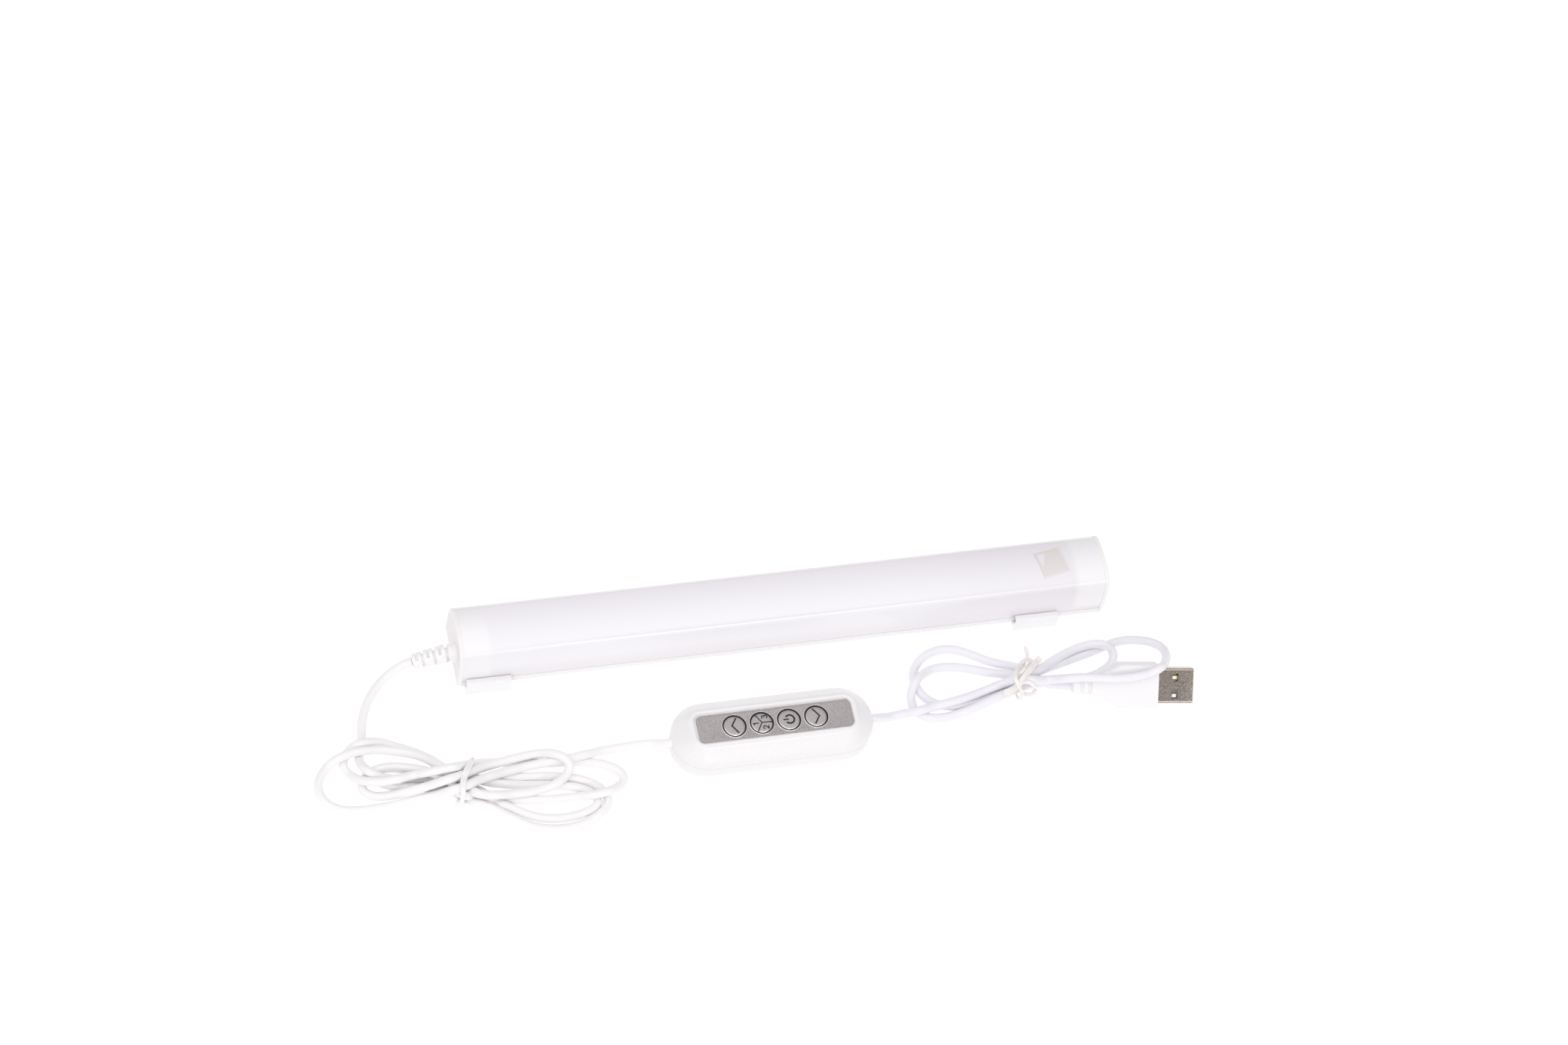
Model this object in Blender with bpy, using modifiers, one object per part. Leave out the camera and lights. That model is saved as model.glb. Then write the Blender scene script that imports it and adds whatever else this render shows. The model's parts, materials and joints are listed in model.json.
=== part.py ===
"""LED light tube with clips, in-line dimmer and USB lead.

A slim D-section light bar lies along +X on two sliding clips.  Its painted
aluminium channel holds the LED board, an opal cover snaps over it and two end
caps close it.  A 2.8 mm lead leaves the -X cap through a strain relief, is
bundled with a twist tie, passes a four-button dimmer and a second bundle, and
ends in a USB-A plug.

Frame: metres, +Z up.  The origin is on the table, centred under the bar.
Dimensions below are in millimetres and are scaled once, in mm().
"""
import bpy
import bmesh
from math import sin, cos, pi, radians, sqrt, hypot
from mathutils import Vector, Matrix

# ------------------------------------------------------------------ dimensions
BAR_LENGTH = 224.2        # over both end caps
CAP_PLATE = 1.4           # visible thickness of an end cap
CAP_PLUG = 8.2            # depth of the cap's inner collar
BAR_BASE_Z = 1.7          # underside of the aluminium channel above the table
BAR_HALF_W = 11.65        # channel, half width
COVER_HALF_W = 11.3       # opal cover at its foot, half width
CHANNEL_TOP = 4.9         # top of the channel's side flanges
CREST_Y, CREST_Z = 8.7, 18.75   # rounded crest between wall and dome
DOME_TOP = 20.6           # highest point of the cover
COVER_WALL = 1.3
GAP = 0.3                 # clearance kept between touching pieces

RELIEF_Y, RELIEF_Z = -3.3, 11.0   # where the lead leaves the -X cap

CLIP_LENGTH = 15.2
CLIP_LEFT_X, CLIP_RIGHT_X = -101.9, 87.9

CORD_R = 1.5

CTRL_X, CTRL_Y = -11.7, -43.3     # dimmer centre on the table
CTRL_A, CTRL_B = 34.5, 12.0       # dimmer half length and half width at the seam
CTRL_SEAM, CTRL_TOP = 6.0, 12.8
PLATE_A, PLATE_B, PLATE_R = 26.4, 5.2, 2.0
PLATE_Z = 12.0
BTN_PITCH, BTN_R, BTN_HOLE = 9.3, 4.0, 4.3
BTN_FOOT = 8.1            # underside of a released button; it travels 0.5 down
BTN_NAMES = ("down", "mode", "power", "up")

PLUG_FRONT = (134.2, -46.2, 7.2)  # open end of the USB shell
PLUG_YAW, PLUG_ROLL = radians(-7.7), radians(-38.0)
SHELL_W, SHELL_T, SHELL_OUT = 12.0, 4.5, 12.3

MM = 0.001


def mm(*v):
    return tuple(c * MM for c in v)


# ------------------------------------------------------------------ scene setup
for old in list(bpy.data.objects):
    bpy.data.objects.remove(old, do_unlink=True)

model = bpy.data.collections.new("led_light_tube")
tools = bpy.data.collections.new("cutters")
bpy.context.scene.collection.children.link(model)
bpy.context.scene.collection.children.link(tools)


def material(name, color, rough, metal=0.0, alpha=1.0):
    m = bpy.data.materials.new(name)
    m.use_nodes = True
    b = m.node_tree.nodes["Principled BSDF"]
    b.inputs["Base Color"].default_value = (*color, 1.0)
    b.inputs["Roughness"].default_value = rough
    b.inputs["Metallic"].default_value = metal
    b.inputs["Alpha"].default_value = alpha
    m.diffuse_color = (*color, 1.0)
    return m


M_ALU = material("white_painted_aluminium", (0.86, 0.85, 0.87), 0.28)
M_OPAL = material("opal_polycarbonate", (0.84, 0.81, 0.87), 0.30)
M_CAP = material("cap_plastic", (0.84, 0.80, 0.78), 0.38)
M_CLIP = material("clip_plastic", (0.88, 0.86, 0.88), 0.30)
M_PVC = material("white_pvc", (0.84, 0.81, 0.83), 0.42)
M_CASE = material("controller_plastic", (0.86, 0.84, 0.86), 0.30)
M_PLATE = material("silver_label", (0.43, 0.40, 0.40), 0.42, 0.35)
M_BUTTON = material("silver_button", (0.46, 0.43, 0.43), 0.36, 0.35)
M_FILM = material("beige_film", (0.66, 0.62, 0.55), 0.35)
M_PCB = material("white_board", (0.78, 0.79, 0.77), 0.45)
M_GREEN = material("green_board", (0.05, 0.22, 0.10), 0.45)
M_TAPE = material("thermal_tape", (0.30, 0.32, 0.36), 0.7)
M_LED = material("led_phosphor", (0.85, 0.72, 0.25), 0.4)
M_CHIP = material("black_resin", (0.02, 0.02, 0.022), 0.45)
M_RED = material("red_insulation", (0.50, 0.03, 0.03), 0.4)
M_STEEL = material("nickel_shell", (0.62, 0.60, 0.57), 0.28, 1.0)
M_GOLD = material("gold_contact", (0.83, 0.62, 0.24), 0.25, 1.0)
M_TIE = material("cream_tie", (0.80, 0.76, 0.72), 0.4)


def add(name, mesh_or_curve, mat, parent=None, coll=model):
    ob = bpy.data.objects.new(name, mesh_or_curve)
    coll.objects.link(ob)
    ob.data.materials.append(mat)
    if parent is not None:
        ob.parent = parent
    return ob


def as_mesh(ob):
    """Replace a curve object by a welded mesh object of the same name."""
    bpy.context.view_layer.update()
    dg = bpy.context.evaluated_depsgraph_get()
    me = bpy.data.meshes.new_from_object(ob.evaluated_get(dg))
    bm = bmesh.new()
    bm.from_mesh(me)
    bmesh.ops.remove_doubles(bm, verts=bm.verts, dist=0.000002)
    bmesh.ops.recalc_face_normals(bm, faces=bm.faces)
    bm.to_mesh(me)
    bm.free()
    name, mat, parent, coll = ob.name, ob.active_material, ob.parent, ob.users_collection[0]
    mw = ob.matrix_world.copy()
    bpy.data.objects.remove(ob, do_unlink=True)
    new = add(name, me, mat, None, coll)
    new.matrix_world = mw
    if parent is not None:
        new.parent = parent
        new.matrix_parent_inverse = parent.matrix_world.inverted()
    return new


def flat_curve(name, outlines, thickness, mat, coll=model):
    """2D outline (first loop) with optional holes, extruded to thickness."""
    cu = bpy.data.curves.new(name, "CURVE")
    cu.dimensions = "2D"
    cu.fill_mode = "BOTH"
    cu.extrude = 0.5 * thickness * MM
    for pts in outlines:
        sp = cu.splines.new("POLY")
        sp.points.add(len(pts) - 1)
        for p, (u, v) in zip(sp.points, pts):
            p.co = (u * MM, v * MM, 0.0, 1.0)
        sp.use_cyclic_u = True
    return add(name, cu, mat, None, coll)


# local (u, v, w) -> world (w, u, v): an outline in the YZ plane, swept along X
ALONG_X = Matrix(((0, 0, 1, 0), (1, 0, 0, 0), (0, 1, 0, 0), (0, 0, 0, 1)))


def bar_extrusion(name, outlines, x0, x1, mat, coll=model):
    ob = flat_curve(name, outlines, x1 - x0, mat, coll)
    ob.matrix_world = Matrix.Translation(mm(0.5 * (x0 + x1), 0, 0)) @ ALONG_X
    return as_mesh(ob)


def slab(name, outlines, z0, z1, mat, coll=model, at=(0.0, 0.0)):
    ob = flat_curve(name, outlines, z1 - z0, mat, coll)
    ob.location = mm(at[0], at[1], 0.5 * (z0 + z1))
    return as_mesh(ob)


def box(name, cx, cy, cz, sx, sy, sz, mat, parent=None, coll=model, bevel=0.0):
    me = bpy.data.meshes.new(name)
    bm = bmesh.new()
    bmesh.ops.create_cube(bm, size=1.0)
    bmesh.ops.scale(bm, vec=mm(sx, sy, sz), verts=bm.verts)
    bm.to_mesh(me)
    bm.free()
    ob = add(name, me, mat, parent, coll)
    ob.location = mm(cx, cy, cz)
    if bevel:
        b = ob.modifiers.new("edge", "BEVEL")
        b.width = bevel * MM
        b.segments = 1
    return ob


def cylinder(name, cx, cy, cz, r, h, mat, axis="Z", sides=24, parent=None, coll=model):
    me = bpy.data.meshes.new(name)
    bm = bmesh.new()
    bmesh.ops.create_cone(bm, cap_ends=True, segments=sides, radius1=r * MM,
                          radius2=r * MM, depth=h * MM)
    if axis == "X":
        bmesh.ops.rotate(bm, cent=(0, 0, 0), matrix=Matrix.Rotation(pi / 2, 3, "Y"), verts=bm.verts)
    bm.to_mesh(me)
    bm.free()
    ob = add(name, me, mat, parent, coll)
    ob.location = mm(cx, cy, cz)
    return ob


def loft(name, rings, mat, parent=None, coll=model):
    """Closed skin over rings of equal point count (mm); flat end faces."""
    me = bpy.data.meshes.new(name)
    bm = bmesh.new()
    rows = [[bm.verts.new(mm(*p)) for p in ring] for ring in rings]
    n = len(rows[0])
    for a, b in zip(rows, rows[1:]):
        for i in range(n):
            j = (i + 1) % n
            bm.faces.new((a[i], a[j], b[j], b[i]))
    bm.faces.new(rows[0])
    bm.faces.new(rows[-1])
    bmesh.ops.recalc_face_normals(bm, faces=bm.faces)
    bm.to_mesh(me)
    bm.free()
    return add(name, me, mat, parent, coll)


def boolean(ob, cutter, op="DIFFERENCE"):
    m = ob.modifiers.new("cut_" + cutter.name, "BOOLEAN")
    m.operation = op
    m.solver = "EXACT"
    m.object = cutter
    cutter.hide_render = True
    cutter.display_type = "WIRE"
    return m


def round_rect(a, b, r, n=5):
    """Rounded rectangle, half sizes a and b, corner radius r, n steps a corner."""
    r = min(r, a, b)
    pts = []
    for k, (sx, sy) in enumerate(((1, 1), (-1, 1), (-1, -1), (1, -1))):
        for i in range(n + 1):
            t = (k + i / n) * pi / 2
            pts.append((sx * (a - r) + r * cos(t), sy * (b - r) + r * sin(t)))
    return pts


def smooth_path(points, step):
    """Catmull-Rom curve through the route's own points, resampled every step mm."""
    P = [Vector(p) for p in points]
    P = [2 * P[0] - P[1]] + P + [2 * P[-1] - P[-2]]
    dense = []
    for i in range(1, len(P) - 2):
        a, b, c, d = P[i - 1:i + 3]
        for k in range(16):
            t = k / 16
            dense.append(0.5 * (2 * b + (c - a) * t + (2 * a - 5 * b + 4 * c - d) * t * t
                                + (3 * b - a - 3 * c + d) * t ** 3))
    dense.append(P[-2])
    total = sum((q - p).length for p, q in zip(dense, dense[1:]))
    n = max(2, round(total / step))
    out, want, run = [dense[0]], total / n, 0.0
    for p, q in zip(dense, dense[1:]):
        seg = (q - p).length
        while run + seg >= want - 1e-9 and len(out) < n:
            p = p + (q - p) * ((want - run) / seg)
            seg = (q - p).length
            run = 0.0
            out.append(p.copy())
        run += seg
    out.append(dense[-1])
    return out


def tube(name, points, r, mat, cyclic=False, res=2):
    cu = bpy.data.curves.new(name, "CURVE")
    cu.dimensions = "3D"
    cu.bevel_depth = r * MM
    cu.bevel_resolution = res
    cu.use_fill_caps = not cyclic
    sp = cu.splines.new("POLY")
    sp.points.add(len(points) - 1)
    for p, q in zip(sp.points, points):
        p.co = (q[0] * MM, q[1] * MM, q[2] * MM, 1.0)
    sp.use_cyclic_u = cyclic
    return add(name, cu, mat)


# ------------------------------------------------------------------ bar section
def wall_y(z):
    """Half width of the cover at height z: the wall leans in more with height."""
    return COVER_HALF_W - 1.55 * (max(0.0, z - 5.2) / 12.0) ** 2.2


CREST_RISE = DOME_TOP - CREST_Z
DOME_R = (CREST_Y ** 2 + CREST_RISE ** 2) / (2 * CREST_RISE)


def dome_z(y, inset=0.0):
    return DOME_TOP - DOME_R + sqrt((DOME_R - inset) ** 2 - y * y)


def half_section(foot=CHANNEL_TOP + GAP):
    """Right half of the cover's outer line, from its foot to the top of the dome."""
    wall = [(wall_y(z), z) for z in (foot + (17.2 - foot) * i / 6 for i in range(7))]
    return wall + [(9.35, 18.05), (CREST_Y, CREST_Z)] + [(y, dome_z(y)) for y in (7.2, 5.4, 3.6, 1.8, 0.0)]


def inner_half(inset, foot):
    """The same line moved in by inset, with a plain corner where wall meets dome."""
    z = 16.0
    for _ in range(20):
        y = wall_y(z) - inset
        z = dome_z(y, inset)
    wall = [(wall_y(q) - inset, q) for q in (foot + (z - foot) * i / 6 for i in range(7))]
    return wall + [(y * k / 5, dome_z(y * k / 5, inset)) for k in (4, 3, 2, 1, 0)]


def arch(outer, inner):
    """Closed C outline between two half lines, mirrored about y = 0."""
    left = [(-y, z) for y, z in reversed(outer[:-1])]
    path = outer + left
    back = [(-y, z) for y, z in inner[:-1]] + list(reversed(inner))
    return path + back


HALF = BAR_LENGTH / 2
INNER = HALF - CAP_PLATE - GAP      # the extrusions stop just short of the caps

# aluminium channel: floor, two flanges, and low ribs that locate the board
W, T0 = BAR_HALF_W, BAR_BASE_Z
channel = [(-W, T0), (W, T0), (W, CHANNEL_TOP), (W - 1.2, CHANNEL_TOP), (W - 1.2, 3.1),
           (7.6, 3.1), (7.6, 3.9), (6.8, 3.9), (6.8, 3.1),
           (-6.8, 3.1), (-6.8, 3.9), (-7.6, 3.9), (-7.6, 3.1),
           (-W + 1.2, 3.1), (-W + 1.2, CHANNEL_TOP), (-W, CHANNEL_TOP)]
bar_extrusion("base_channel", [channel], -INNER, INNER, M_ALU)

# opal cover with two tongues that drop inside the flanges
outer = half_section()
tongue_out = W - 1.2 - GAP
tongue_in = tongue_out - 1.1
foot = CHANNEL_TOP + GAP
cover_outer = [(tongue_out, 3.5), (tongue_out, foot)] + outer
inner_line = [(tongue_in, 3.5)] + inner_half(COVER_WALL, 6.0)
bar_extrusion("diffuser", [arch(cover_outer, inner_line)], -INNER, INNER, M_OPAL)


# end caps: a plate with the bar's outline and a collar that fits inside the cover
def cap(name, side):
    edge = [(W, T0)] + [(W, CHANNEL_TOP)] + half_section()
    plate = edge + [(-y, z) for y, z in reversed(edge[:-1])]
    x0, x1 = sorted((side * (HALF - CAP_PLATE), side * HALF))
    body = bar_extrusion(name, [plate], x0, x1, M_CAP)
    c_out, c_in = inner_half(COVER_WALL + GAP, 5.9), inner_half(COVER_WALL + GAP + 1.2, 5.9)
    collar = bar_extrusion(name + "_collar", [arch(c_out, c_in)],
                           *sorted((side * (HALF - CAP_PLATE + 0.4), side * (HALF - CAP_PLATE - CAP_PLUG))),
                           M_CAP, tools)
    boolean(body, collar, "UNION")
    return body


cap_left = cap("end_cap_left", -1)
cap("end_cap_right", 1)
hole = cylinder("cut_cap_hole", -HALF + 1.0, RELIEF_Y, RELIEF_Z, 2.75, 6.0, M_CAP, "X", 20, None, tools)
boolean(cap_left, hole)

# ------------------------------------------------------------------ light engine
BOARD_X0, BOARD_X1 = -101.0, 103.0
box("thermal_tape", 1.0, 0, 3.5, 198.0, 10.0, 0.2, M_TAPE)
box("led_board", (BOARD_X0 + BOARD_X1) / 2, 0, 4.3, BOARD_X1 - BOARD_X0, 12.6, 0.8, M_PCB)
N_LED = 10
for i in range(N_LED):
    x = -88.0 + i * (178.0 / (N_LED - 1))
    box("led_%02d" % (i + 1), x, 0, 5.4, 3.5, 2.8, 0.8, M_LED)
box("board_resistor_1", -78.0, 4.0, 5.3, 3.2, 1.6, 0.6, M_CHIP)
box("board_resistor_2", 80.0, 4.0, 5.3, 3.2, 1.6, 0.6, M_CHIP)
for nm, sgn, m in (("wire_positive", 1, M_RED), ("wire_negative", -1, M_PVC)):
    y0 = RELIEF_Y + 0.9 * sgn
    tube(nm, smooth_path([(-108.9, y0, RELIEF_Z), (-107.4, y0 + 0.3 * sgn, 10.4),
                          (-105.6, 0.5 * y0 + 1.2 * sgn, 8.4), (-103.0, 1.8 * sgn, 6.4),
                          (-98.5, 2.4 * sgn, 5.5)], 1.6), 0.45, m, res=1)

# ------------------------------------------------------------------ strain relief
# Moulded on the lead: inner flange, neck through the cap, collar, then ribs that
# get thinner as the relief droops towards the table.
RELIEF_TIP = (-126.0, -3.5, 8.0)


def relief_axis(x):
    """Centre of the relief at x: level in the cap, drooping smoothly outside."""
    s = max(0.0, (-HALF - 1.5) - x) / ((-HALF - 1.5) - RELIEF_TIP[0])
    return (x, RELIEF_Y + (RELIEF_TIP[1] - RELIEF_Y) * s,
            RELIEF_Z + (RELIEF_TIP[2] - RELIEF_Z) * s ** 1.4)


relief = [(-109.3, 3.5), (-110.3, 3.5), (-110.3, 2.4), (-112.4, 2.4), (-112.4, 3.2), (-113.9, 3.1),
          (-114.3, 2.35), (-116.0, 2.3)]
x, r = -116.0, 3.15
for k in range(4):
    relief += [(x, r), (x - 1.7, r - 0.12), (x - 1.7, r - 1.05), (x - 2.5, r - 1.1)]
    x -= 2.5
    r -= 0.2
relief[-1] = (RELIEF_TIP[0], relief[-1][1])


def relief_slope(x):
    """Unit direction of the relief's centre line at x, pointing away from the cap."""
    return (Vector(relief_axis(x - 0.05)) - Vector(relief_axis(x + 0.05))).normalized()


rings = []
for x, r in relief:
    c, t = Vector(relief_axis(x)), relief_slope(x)
    side = Vector((0, 0, 1)).cross(t).normalized()
    up = t.cross(side)
    rings.append([c + side * (r * cos(2 * pi * k / 16)) + up * (r * sin(2 * pi * k / 16)) for k in range(16)])
loft("strain_relief", rings, M_PVC)

# ------------------------------------------------------------------ sliding clips
clip_half = [(14.1, 0.0), (14.05, 3.6), (13.8, 5.0), (13.2, 5.85), (12.4, 6.15), (11.65, 6.15),
             (11.6, 5.25), (12.2, 5.1), (12.8, 4.5), (12.95, 3.5), (12.9, 3.2), (12.0, 3.0), (12.0, 1.35)]
clip_outline = clip_half + [(-y, z) for y, z in reversed(clip_half)]
for nm, cx in (("mounting_clip_left", CLIP_LEFT_X), ("mounting_clip_right", CLIP_RIGHT_X)):
    c = bar_extrusion(nm, [clip_outline], cx - CLIP_LENGTH / 2, cx + CLIP_LENGTH / 2, M_CLIP)
    h = cylinder("cut_" + nm, cx, 0, 0.7, 1.7, 4.0, M_CLIP, "Z", 16, None, tools)
    boolean(c, h)

# ------------------------------------------------------------------ small film on the cover
me = bpy.data.meshes.new("diffuser_film")
bm = bmesh.new()
bmesh.ops.create_grid(bm, x_segments=4, y_segments=4, size=5.0 * MM)
bmesh.ops.rotate(bm, cent=(0, 0, 0), matrix=Matrix.Rotation(radians(11.5), 3, "Z"), verts=bm.verts)
bmesh.ops.translate(bm, vec=mm(93.4, -0.3, 0), verts=bm.verts)
for v in bm.verts:
    y = v.co.y / MM
    v.co.z = (dome_z(y) + GAP) * MM
bm.to_mesh(me)
bm.free()
film = add("diffuser_film", me, M_FILM)
sol = film.modifiers.new("thickness", "SOLIDIFY")
sol.thickness = 0.12 * MM
sol.offset = 1.0

# ------------------------------------------------------------------ dimmer case
CX, CY = CTRL_X, CTRL_Y
CASE_X, CASE_Y = CX - 0.3, CY + 0.15      # the case's middle; the label sits a little off it


def ctrl_ring(a, b, r, z):
    return [(CASE_X + u, CASE_Y + v, z) for u, v in round_rect(a, b, r, 6)]


lower = loft("controller_lower_shell", [
    ctrl_ring(CTRL_A - 1.5, CTRL_B - 1.5, 10.1, 0.0), ctrl_ring(CTRL_A - 0.6, CTRL_B - 0.6, 11.0, 0.4),
    ctrl_ring(CTRL_A - 0.1, CTRL_B - 0.1, 11.8, 1.5), ctrl_ring(CTRL_A, CTRL_B, 12.0, CTRL_SEAM - GAP / 2)], M_CASE)
low_cut = loft("cut_ctrl_low", [
    ctrl_ring(CTRL_A - 2.4, CTRL_B - 2.4, 9.2, 1.5),
    ctrl_ring(CTRL_A - 1.6, CTRL_B - 1.6, 10.0, 7.5)], M_CASE, None, tools)
boolean(lower, low_cut)
for i, dx in enumerate((-20.0, 20.0)):
    rib = box("add_ctrl_rib_%d" % i, CX + dx, CASE_Y, 2.3, 1.4, 20.4, 2.0, M_CASE, None, tools)
    boolean(lower, rib, "UNION")

upper = loft("controller_upper_shell", [
    ctrl_ring(CTRL_A, CTRL_B, 12.0, CTRL_SEAM + GAP / 2), ctrl_ring(CTRL_A - 0.1, CTRL_B - 0.1, 11.8, 7.3),
    ctrl_ring(CTRL_A - 0.7, CTRL_B - 0.6, 10.6, 8.1), ctrl_ring(29.3, 7.5, 4.4, 12.3),
    ctrl_ring(28.4, 6.9, 3.8, CTRL_TOP)], M_CASE)
up_cut = loft("cut_ctrl_up", [
    ctrl_ring(CTRL_A - 1.6, CTRL_B - 1.6, 10.0, 4.5), ctrl_ring(CTRL_A - 1.7, CTRL_B - 1.7, 9.9, 6.9),
    ctrl_ring(28.4, 6.9, 3.6, 9.8)], M_CASE, None, tools)
boolean(upper, up_cut)
recess = slab("cut_ctrl_recess", [round_rect(PLATE_A + GAP, PLATE_B + GAP, PLATE_R + GAP, 4)],
              PLATE_Z - 0.7, 14.0, M_CASE, tools, (CX, CY))
boolean(upper, recess)
btn_x = [CX + (i - 1.5) * BTN_PITCH for i in range(4)]
for i, bx in enumerate(btn_x):
    boolean(upper, cylinder("cut_ctrl_btn_%d" % i, bx, CY, 11.0, BTN_HOLE, 4.0, M_CASE, "Z", 28, None, tools))
exit_cut = cylinder("cut_ctrl_exits", CX, CY, CTRL_SEAM, CORD_R + GAP, 2 * CTRL_A + 4, M_CASE, "X", 16, None, tools)
boolean(lower, exit_cut)
boolean(upper, exit_cut)

circle = [(cos(2 * pi * k / 28), sin(2 * pi * k / 28)) for k in range(28)]
slab("controller_faceplate",
     [round_rect(PLATE_A, PLATE_B, PLATE_R, 4)]
     + [[(bx - CX + BTN_HOLE * c, BTN_HOLE * s) for c, s in circle] for bx in btn_x],
     PLATE_Z - 0.4, PLATE_Z, M_PLATE, model, (CX, CY))

# buttons: a low domed cap with a wider foot that keeps it inside the case
for nm, bx in zip(BTN_NAMES, btn_x):
    rings = []
    for rx, ry, z in ((4.45, 5.4, BTN_FOOT), (4.45, 5.4, 9.3), (BTN_R, BTN_R, 9.3), (BTN_R, BTN_R, 12.15),
                      (BTN_R - 0.25, BTN_R - 0.25, 12.35), (BTN_R - 1.6, BTN_R - 1.6, 12.5)):
        rings.append([(bx + rx * c, CY + ry * s, z) for c, s in circle[::2]])
    b = loft("button_" + nm, rings, M_BUTTON)
    # the button's own origin sits on its travel axis
    b.data.transform(Matrix.Translation(mm(-bx, -CY, -BTN_FOOT)))
    b.location = mm(bx, CY, BTN_FOOT)

box("controller_board", CASE_X, CASE_Y, 4.2, 57.0, 15.0, 1.2, M_GREEN)
for i, bx in enumerate(btn_x):
    s = box("tact_switch_%d" % (i + 1), bx, CY, 6.05, 6.0, 6.0, 1.9, M_CHIP)
    p = cylinder("add_plunger_%d" % (i + 1), bx, CY, 7.1, 1.6, 0.8, M_CHIP, "Z", 16, None, tools)
    boolean(s, p, "UNION")
box("controller_chip", CX + 21.5, CY + 3.6, 5.85, 5.0, 4.0, 1.5, M_CHIP)
box("controller_transistor", CX + 22.5, CY - 4.0, 5.75, 3.0, 2.6, 1.3, M_CHIP)

# ------------------------------------------------------------------ leads
# Route points of the two free leads, centre line, table at z = 0.
lead = [tuple(Vector(RELIEF_TIP) + GAP * relief_slope(RELIEF_TIP[0])),
        tuple(Vector(RELIEF_TIP) + 1.6 * relief_slope(RELIEF_TIP[0])), (-130.0, -3.5, 5.6), (-132.6, -3.9, 3.4), (-135.3, -5.1, 1.9),
        (-138.2, -7.7, 1.56), (-141.0, -11.1, 1.54), (-143.3, -15.0, 1.54), (-144.9, -19.0, 1.54), (-145.9, -22.4, 1.54)]
tube("cord_lamp_lead", smooth_path(lead, 1.6), CORD_R, M_PVC)

tail = [(-63.0, -41.4, 2.4), (-57.5, -41.6, 4.0), (-52.0, -42.5, 5.3), (-48.0, -43.2, 5.9), (CASE_X - CTRL_A + 1.2, CY, CTRL_SEAM)]
tube("cord_lamp_tail", smooth_path(tail, 2.4), CORD_R, M_PVC)

usb_lead = [(CASE_X + CTRL_A - 1.2, CY, CTRL_SEAM), (25.0, -43.2, 5.9), (28.0, -42.9, 5.2), (31.5, -42.3, 4.3), (35.0, -41.8, 3.8)]
tube("cord_usb_lead", smooth_path(usb_lead, 2.4), CORD_R, M_PVC)

usb_tail = [(84.5, -37.0, 3.4), (86.5, -37.9, 3.9), (89.0, -39.2, 5.2), (92.0, -40.4, 7.0)]

# hanks: outlines of the tied bundles, drawn once around each bundle
hank_1 = [(-66, -40.5), (-74, -40.3), (-84, -40.4), (-96, -40.6), (-107, -40.8), (-116, -41.6), (-125, -37.2), (-134, -30.6),
          (-143, -24.4), (-150, -24.6), (-157, -30.6), (-163, -36.4), (-164.6, -43.0), (-162, -49.4), (-154, -53.4),
          (-140, -53.4), (-126, -52.6), (-117, -55.0), (-110, -59.6), (-101, -65.6), (-92, -68.6), (-82, -68.8),
          (-72, -65.8), (-64, -58.6), (-60.5, -50.0), (-62.2, -44.2)]
HANK_1_X = -116.2
slab("cord_lamp_hank", [hank_1], 2.1, 8.6, M_PVC)
hank_2 = [(37.2, -36.0), (39.0, -27.0), (44.0, -19.6), (51.0, -17.2), (60.0, -17.6), (69.0, -22.4), (76.5, -26.0),
          (84.0, -28.4), (93.0, -26.0), (104.0, -23.4), (117.0, -23.2), (125.0, -25.6), (127.2, -29.6),
          (124.0, -33.4), (106.0, -33.4), (94.0, -33.6), (86.0, -33.2), (82.4, -34.0), (79.4, -36.9), (74.0, -39.0), (66.0, -41.6),
          (56.0, -45.2), (46.0, -45.6), (39.6, -44.6), (37.4, -40.4)]
slab("cord_usb_hank", [hank_2], 2.1, 7.4, M_PVC)


def tie(name, cx, y0, y1, z1, tilt):
    """A twist tie: one rounded loop of coated wire around a hank's waist."""
    r = 0.75
    pts = [(cx + tilt * u / 8.0, 0.5 * (y0 + y1) + u, 0.5 * (z1 + r) + v)
           for u, v in round_rect(0.5 * (y1 - y0), 0.5 * (z1 - r), 2.0, 3)]
    return tube(name, pts, r, M_TIE, cyclic=True, res=1)


tie("twist_tie_lamp", HANK_1_X, -56.6, -40.4, 9.7, 0.6)
tie("twist_tie_usb", 78.4, -39.6, -25.2, 8.5, 0.6)

# ------------------------------------------------------------------ USB-A plug
frame_empty = bpy.data.objects.new("plug_frame", None)
model.objects.link(frame_empty)
frame_empty.location = mm(*PLUG_FRONT)
frame_empty.rotation_euler = (PLUG_ROLL * -1.0, 0.0, PLUG_YAW)
bpy.context.view_layer.update()


def plug_ring(x, a, b, r):
    return [(x, u, v) for u, v in round_rect(a, b, r, 3)]


over = loft("usb_overmold", [
    plug_ring(-SHELL_OUT, 7.1, 3.5, 1.0), plug_ring(-SHELL_OUT - 0.5, 7.55, 3.9, 1.3), plug_ring(-25.4, 7.55, 3.9, 1.3),
    plug_ring(-32.2, 3.8, 3.3, 1.4), plug_ring(-36.0, 3.2, 2.9, 1.5), plug_ring(-41.6, 2.6, 2.5, 1.6)], M_PVC, frame_empty)
pocket = box("cut_plug_pocket", -SHELL_OUT - 0.8, 0, 0, 6.0, SHELL_W + 2 * GAP, SHELL_T + 2 * GAP, M_PVC, frame_empty, tools)
boolean(over, pocket)

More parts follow.
